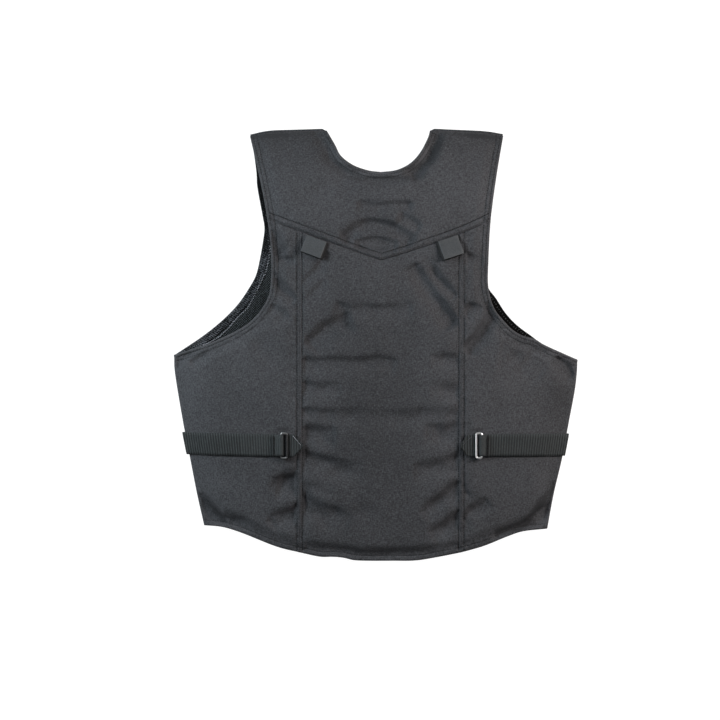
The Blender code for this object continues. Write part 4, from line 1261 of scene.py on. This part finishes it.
class Seat:
    """The flat place where a ring lies, with distances from its inner side."""

    def __init__(self, sign):
        self.sign, self.x = sign, RING_X[sign]
        spots = np.linspace(-0.4, 0.4, 5) * STRAP_WIDTH + STRAP_Y
        near = max(BACK_SKIN.height(self.x, y, 0.0) for y in spots)
        far = max(BACK_SKIN.height(self.x + sign * RUN_START, y, 0.0) for y in spots)
        self.angle = math.atan2(near - far, RUN_START)
        self.z = near + STRAP_GAP

    def point(self, away, y, height):
        out, up = math.cos(self.angle), math.sin(self.angle)
        return (self.x + self.sign * (away * out + height * up), y, self.z - away * up + height * out)


SEATS = {side: Seat(sign) for sign, side in SIDES}
print("seats tilt by", [round(math.degrees(seat.angle), 1) for seat in SEATS.values()], "degrees")

# %% [markdown]
# The webbing is woven with ribs across it. Its thickness drops in a narrow line between two ribs, and
# the faces there get a darker finish as painted shade, so the ribs show even where the light is flat. A
# strap is nine lines side by side, each a smooth curve from the sewn end round the ring to the tuck under
# the front. It could be one long box that is bent, but lines can follow every rise of the padded cloth.

# %% Straps
RIB_PITCH, RIB_GROOVE = 0.00380, 0.00075
THINNED, EDGE_SHARE = 0.80, 0.75      # how much thinner it is in a groove; how thick at its edges
# Faces this deep in a groove get the darker webbing as painted shade
DARK_FROM = 0.3                  # cells that lie this deep in a groove are dark
ABOVE_CLOTH = 0.0006
STRAP_RISE = {-1: 0.0022, 1: 0.0}     # the left strap climbs a little on its way to the side
STRAP_PAST = {-1: 0.0012, 1: 0.0}     # and stands off further where it turns under
# Round the side fold, in columns: distance past the fold, share of the way down
WRAP = [(0.0006, 0.00), (0.0020, 0.05), (0.0028, 0.16), (0.0030, 0.50), (0.0028, 0.86),
        (0.0018, 0.96), (0.0000, 1.00)]
TUCKS = (0.0095, 0.0190)         # under the front, its last two points lie this far inside the fold
# The loop's dark cut edge is painted shadow
LOOP_LENGTH, CUT = 0.017, 0.0014      # the end round the ring is pressed smooth, its cut edge is dark


def groove_depth(along):
    """From 0 on a rib to 1 in the groove between two."""
    return np.exp(-(((along % RIB_PITCH) - RIB_PITCH / 2) / RIB_GROOVE) ** 2)


def thickness_shares(along, lines):
    """Shares of the full thickness at these places along the webbing, for so many lines of it."""
    shares = np.tile(1 - THINNED * groove_depth(along), (lines, 1))
    shares[[0, -1]] *= EDGE_SHARE
    return shares


def strap_line(seat, share):
    """One line along the strap, from its sewn end round the ring to the front."""
    y, loop_y = STRAP_Y + share * STRAP_WIDTH / 2, STRAP_Y + share * LOOP_WIDTH / 2
    bar_away, bar_height = RING_WIDTH - RING_FLAT, WEBBING / 2 + LOOP_RADIUS
    tail = 1.5 * WEBBING + STRAP_GAP
    route = [seat.point(TAIL_END[seat.sign] - back, loop_y, tail + lift)
             for back, lift in ((0.0, 0.0), (0.0027, 0.0004))]
    for degrees in range(45, 271, 25):
        turn = math.radians(degrees)
        route.append(seat.point(bar_away + LOOP_RADIUS * math.cos(turn), loop_y,
                                bar_height + LOOP_RADIUS * math.sin(turn)))
    route.append(seat.point((bar_away + RUN_START) / 2, y, WEBBING / 2))
    fold = float(fold_x(seat.sign, y))
    lift = ABOVE_CLOTH + WEBBING / 2
    start, last = seat.x + seat.sign * RUN_START, fold - seat.sign * 0.002
    for x, climb in zip(np.linspace(start, last, 12), np.linspace(0, STRAP_RISE[seat.sign], 12)):
        route.append((x, y + climb, BACK_SKIN.height(x, y + climb, 0.02) + lift + 0.0004))
    y += STRAP_RISE[seat.sign]
    upper = BACK_SKIN.height(fold - seat.sign * 0.001, y, 0.02) + lift
    lower = float(front_mid(fold, y)) - 0.0030 - lift
    route += [(fold + seat.sign * (past + STRAP_PAST[seat.sign] * math.sin(math.pi * step)), y,
               upper + step * (lower - upper)) for past, step in WRAP]
    for tuck in TUCKS:
        x = fold - seat.sign * tuck
        route.append((x, y, float(front_mid(x, y)) - PAD_FRONT / 2 * (0.45 + 0.55 * tuck / 0.035) - lift))
    return np.array(route)


def make_strap(seat, side):
    """The webbing and the thread that sews its end down; returns its length."""
    lines = [strap_line(seat, share) for share in np.linspace(-1, 1, 9)]
    length = np.linalg.norm(np.diff(lines[4], axis=0), axis=1).sum()
    rows = round(length / (RIB_PITCH / 6))
    points = np.array([curve(line, even(rows)) for line in lines])
    points[:, :, 2] = np.maximum(points[:, :, 2], WEBBING / 2 + 0.0002)
    along = even(rows) * length
    middles = (along[1:] + along[:-1]) / 2
    grooves = (groove_depth(middles) > DARK_FROM) & (middles > LOOP_LENGTH) | (middles < CUT)
    piece = thin_cloth("webbing_" + side, points, WEBBING, RIB_CLOTH, thickness_shares(along, len(lines)),
                       grooves, GROOVE_SHADE_CLOTH)
    dress(piece, "webbing", "strap_" + side)
    # The sewn row is black and thick, as painted shadow beside the loop's end
    sewn = [seat.point(TAIL_END[seat.sign] - 0.0009, STRAP_Y + y, 2 * WEBBING + STRAP_GAP)
            for y in (-0.0148, 0.0148)]
    sew("stitches_loop_" + side, [np.array(sewn)], material=BLACK, slot="webbing", pitch=0.0024,
        stitch=0.0023, radius=0.0010)
    return length


for side, seat in SEATS.items():
    print("strap", side, "is", round(1000 * make_strap(seat, side)), "mm long")

# %% [markdown]
# An anchor is the same webbing, cut to a point towards the middle of the back and sewn down along its
# two slanting sides. The upper row of thread is light on the left and grey on the right, as a painted
# highlight. The lower row lies in the anchor's shade and shows as a dark line, so its thread is black and
# thick as painted shadow.

# %% Anchors
# Outlines from the ring to the point, in millimetres: away from the seat's inner side, half the width
ANCHORS = {"left": [(3.5, 16.0), (-8.6, 16.0), (-21.8, 1.0)],
           "right": [(3.5, 16.0), (-11.5, 15.6), (-20.3, 2.0)]}
# The thread rows from end to end, in millimetres: away from the seat's inner side, up from its middle
UPPER_ROW = {"left": [(-6.9, 14.2), (-19.6, -0.6)], "right": [(-4.5, 13.0), (-19.0, 0.0)]}
LOWER_ROW = {"left": [(-20.6, -3.4), (-9.5, -15.6)], "right": [(-19.4, -3.6), (-12.0, -15.0)]}
# The light and grey thread of the upper rows is a painted highlight
UPPER_THREAD_HIGHLIGHT = {"left": LIGHT_THREAD, "right": GREY_THREAD}


def make_anchor(seat, side):
    """The pointed webbing that holds the ring, with its thread."""
    outline = mm(*ANCHORS[side])
    away = np.linspace(outline[0, 0], outline[-1, 0], 61)
    half = np.interp(-away, -outline[:, 0], outline[:, 1])
    points = np.array([[seat.point(a, STRAP_Y + share * h, WEBBING / 2) for a, h in zip(away, half)]
                       for share in np.linspace(-1, 1, 13)])
    along = away - away[-1]
    grooves = groove_depth((along[1:] + along[:-1]) / 2) > DARK_FROM
    piece = thin_cloth("anchor_" + side, points, WEBBING, RIB_CLOTH, thickness_shares(along, len(points)),
                       grooves, GROOVE_SHADE_CLOTH)
    dress(piece, "webbing", "strap_anchor_" + side)
    # Upper rows carry a painted highlight; the lower rows' thick black thread is painted shadow
    for part, ends, thread, radius in (("upper_", UPPER_ROW[side], UPPER_THREAD_HIGHLIGHT[side], 0.00036),
                                       ("lower_", LOWER_ROW[side], BLACK, 0.0007)):
        row = np.array([seat.point(a / 1000, STRAP_Y + y / 1000, WEBBING * 1.1) for a, y in ends])
        sew("stitches_anchor_" + part + side, [row], material=thread, slot="webbing", pitch=0.0026,
            stitch=0.0021, radius=radius)
    return piece


for side, seat in SEATS.items():
    print(make_anchor(seat, side).name, "points to the middle")

# %% [markdown]
# The ring is a rectangle of wire with rounded corners, pressed a little flat. A round curve with a
# bevel would give round wire, so the section is a rounded square instead, carried along the route by
# hand: at each point, one direction lies in the ring's plane and one stands on it.

# %% Rings
WIRE_SIDES, SQUARE = 20, 0.6     # points round the wire; 1 would be round, and less is more square


def make_ring(seat, side):
    """A rectangle of flattened wire with rounded corners."""
    half = (RING_WIDTH / 2 - RING_FLAT - RING_CORNER, RING_HEIGHT / 2 - RING_FLAT - RING_CORNER)
    corners = [(half[0], half[1], 0), (-half[0], half[1], 90), (-half[0], -half[1], 180),
               (half[0], -half[1], 270)]
    route = []
    for away, across, start in corners:
        for turn in range(0, 91, 15):
            angle = math.radians(start + turn)
            route.append(seat.point(RING_WIDTH / 2 + away + RING_CORNER * math.cos(angle),
                                    STRAP_Y + across + RING_CORNER * math.sin(angle),
                                    WEBBING / 2 + LOOP_RADIUS))
    route = np.array(route)
    run = np.roll(route, -1, 0) - np.roll(route, 1, 0)
    run /= np.linalg.norm(run, axis=1)[:, None]
    # Two directions a quarter turn apart give the one that stands on the ring's plane
    up = np.cross(run[0], run[7])
    up *= np.sign(up[2]) / np.linalg.norm(up)
    out = np.cross(run, up)
    turns = np.linspace(0, 2 * math.pi, WIRE_SIDES, endpoint=False)
    wide = np.sign(np.cos(turns)) * np.abs(np.cos(turns)) ** SQUARE
    tall = np.sign(np.sin(turns)) * np.abs(np.sin(turns)) ** SQUARE
    points = (route[:, None] + RING_FLAT * wide[None, :, None] * out[:, None]
              + RING_WIRE * tall[None, :, None] * up)
    number = np.arange(points.shape[0] * points.shape[1]).reshape(points.shape[:2])
    across, onward = np.roll(number, -1, 1), np.roll(number, -1, 0)
    faces = np.stack([number, across, np.roll(onward, -1, 1), onward], -1).reshape(-1, 4)
    piece = finish_mesh("ring_" + side, points.reshape(-1, 3), faces, METAL[side])
    return dress(piece, "metal", "strap_ring_" + side)


for side, seat in SEATS.items():
    print(make_ring(seat, side).name, "is", 1000 * RING_WIDTH, "by", 1000 * RING_HEIGHT, "mm")

# %% [markdown]
# ## Tabs
#
# Two short tabs of smooth coated rubber hang out of the yoke seam. They are 3 mm thick, and their lower
# ends stand off the panel. In the picture each shows a black line of shadow along its lower and inner
# sides. So their sides are black as painted shadow, and the lower face is moved out a little, which turns
# those sides up to view.

# %% Tabs
# Columns: side, middle in millimetres, turn in degrees, width and length in millimetres
TABS = [("left", -89.0, 141.2, -20.5, 30.6, 25.6), ("right", 108.6, 140.2, 19.0, 29.8, 28.4)]
TAB_THICKNESS = 0.003
TAB_SUNK, TAB_RISE = 0.0002, 0.0030   # it is pressed in at its highest place, and its end stands off
SEAM_HEIGHT = 0.03               # taken where a ray falls through the narrow gap of the seam
LEAN_IN, LEAN_DOWN = 0.0034, 0.0014   # how far the lower face is moved
TAB_POINTS = 15                  # along each side


def make_tab(side, x, y, turn, width, length):
    """A small slab that lies on the slope of the cloth under it."""
    angle = math.radians(turn)
    out, down = np.array([math.cos(angle), math.sin(angle)]), np.array([math.sin(angle), -math.cos(angle)])
    steps = np.linspace(-0.5, 0.5, TAB_POINTS)
    grid = np.array([[(x, y) + out * u * width + down * v * length for v in steps] for u in steps]) / 1000
    spots = grid.reshape(-1, 2)
    ground = BACK_SKIN.heights(spots, SEAM_HEIGHT).reshape(TAB_POINTS, TAB_POINTS)
    plane = np.column_stack([spots, np.ones(len(spots))])
    fit = np.linalg.lstsq(plane, ground.ravel(), rcond=None)[0]
    tall = (plane @ fit).reshape(TAB_POINTS, TAB_POINTS)
    tall += (ground - tall)[:, 3:].max() + TAB_THICKNESS / 2 - TAB_SUNK
    tall += TAB_RISE * smooth(np.linspace(0, 1, TAB_POINTS))
    piece = thin_cloth("tab_" + side, np.dstack([grid, tall]), TAB_THICKNESS, TAB_RUBBER)
    lean = down * LEAN_DOWN - out * math.copysign(LEAN_IN, x)
    # The modifier keeps the order of the points, first all of one face, then all of the other
    for vertex, middle in zip(piece.data.vertices, np.tile(tall.ravel(), 2)):
        if vertex.co.z < middle:
            vertex.co.x += lean[0]
            vertex.co.y += lean[1]
    bevel = piece.modifiers.new("rounded edges", "BEVEL")
    bevel.width, bevel.segments, bevel.angle_limit = 0.0005, 2, math.radians(50)
    bpy.context.view_layer.objects.active = piece
    bpy.ops.object.modifier_apply(modifier=bevel.name)
    piece.data.set_sharp_from_angle(angle=math.radians(60))
    # Black sides as painted shadow along the lower and inner edges
    piece.data.materials.append(BLACK)
    for face in piece.data.polygons:
        face.material_index = int(face.normal.z < 0.8)
    return dress(piece, "tab", "yoke_tab_" + side)


for tab in TABS:
    print(make_tab(*tab).name, "at", tab[1:3])
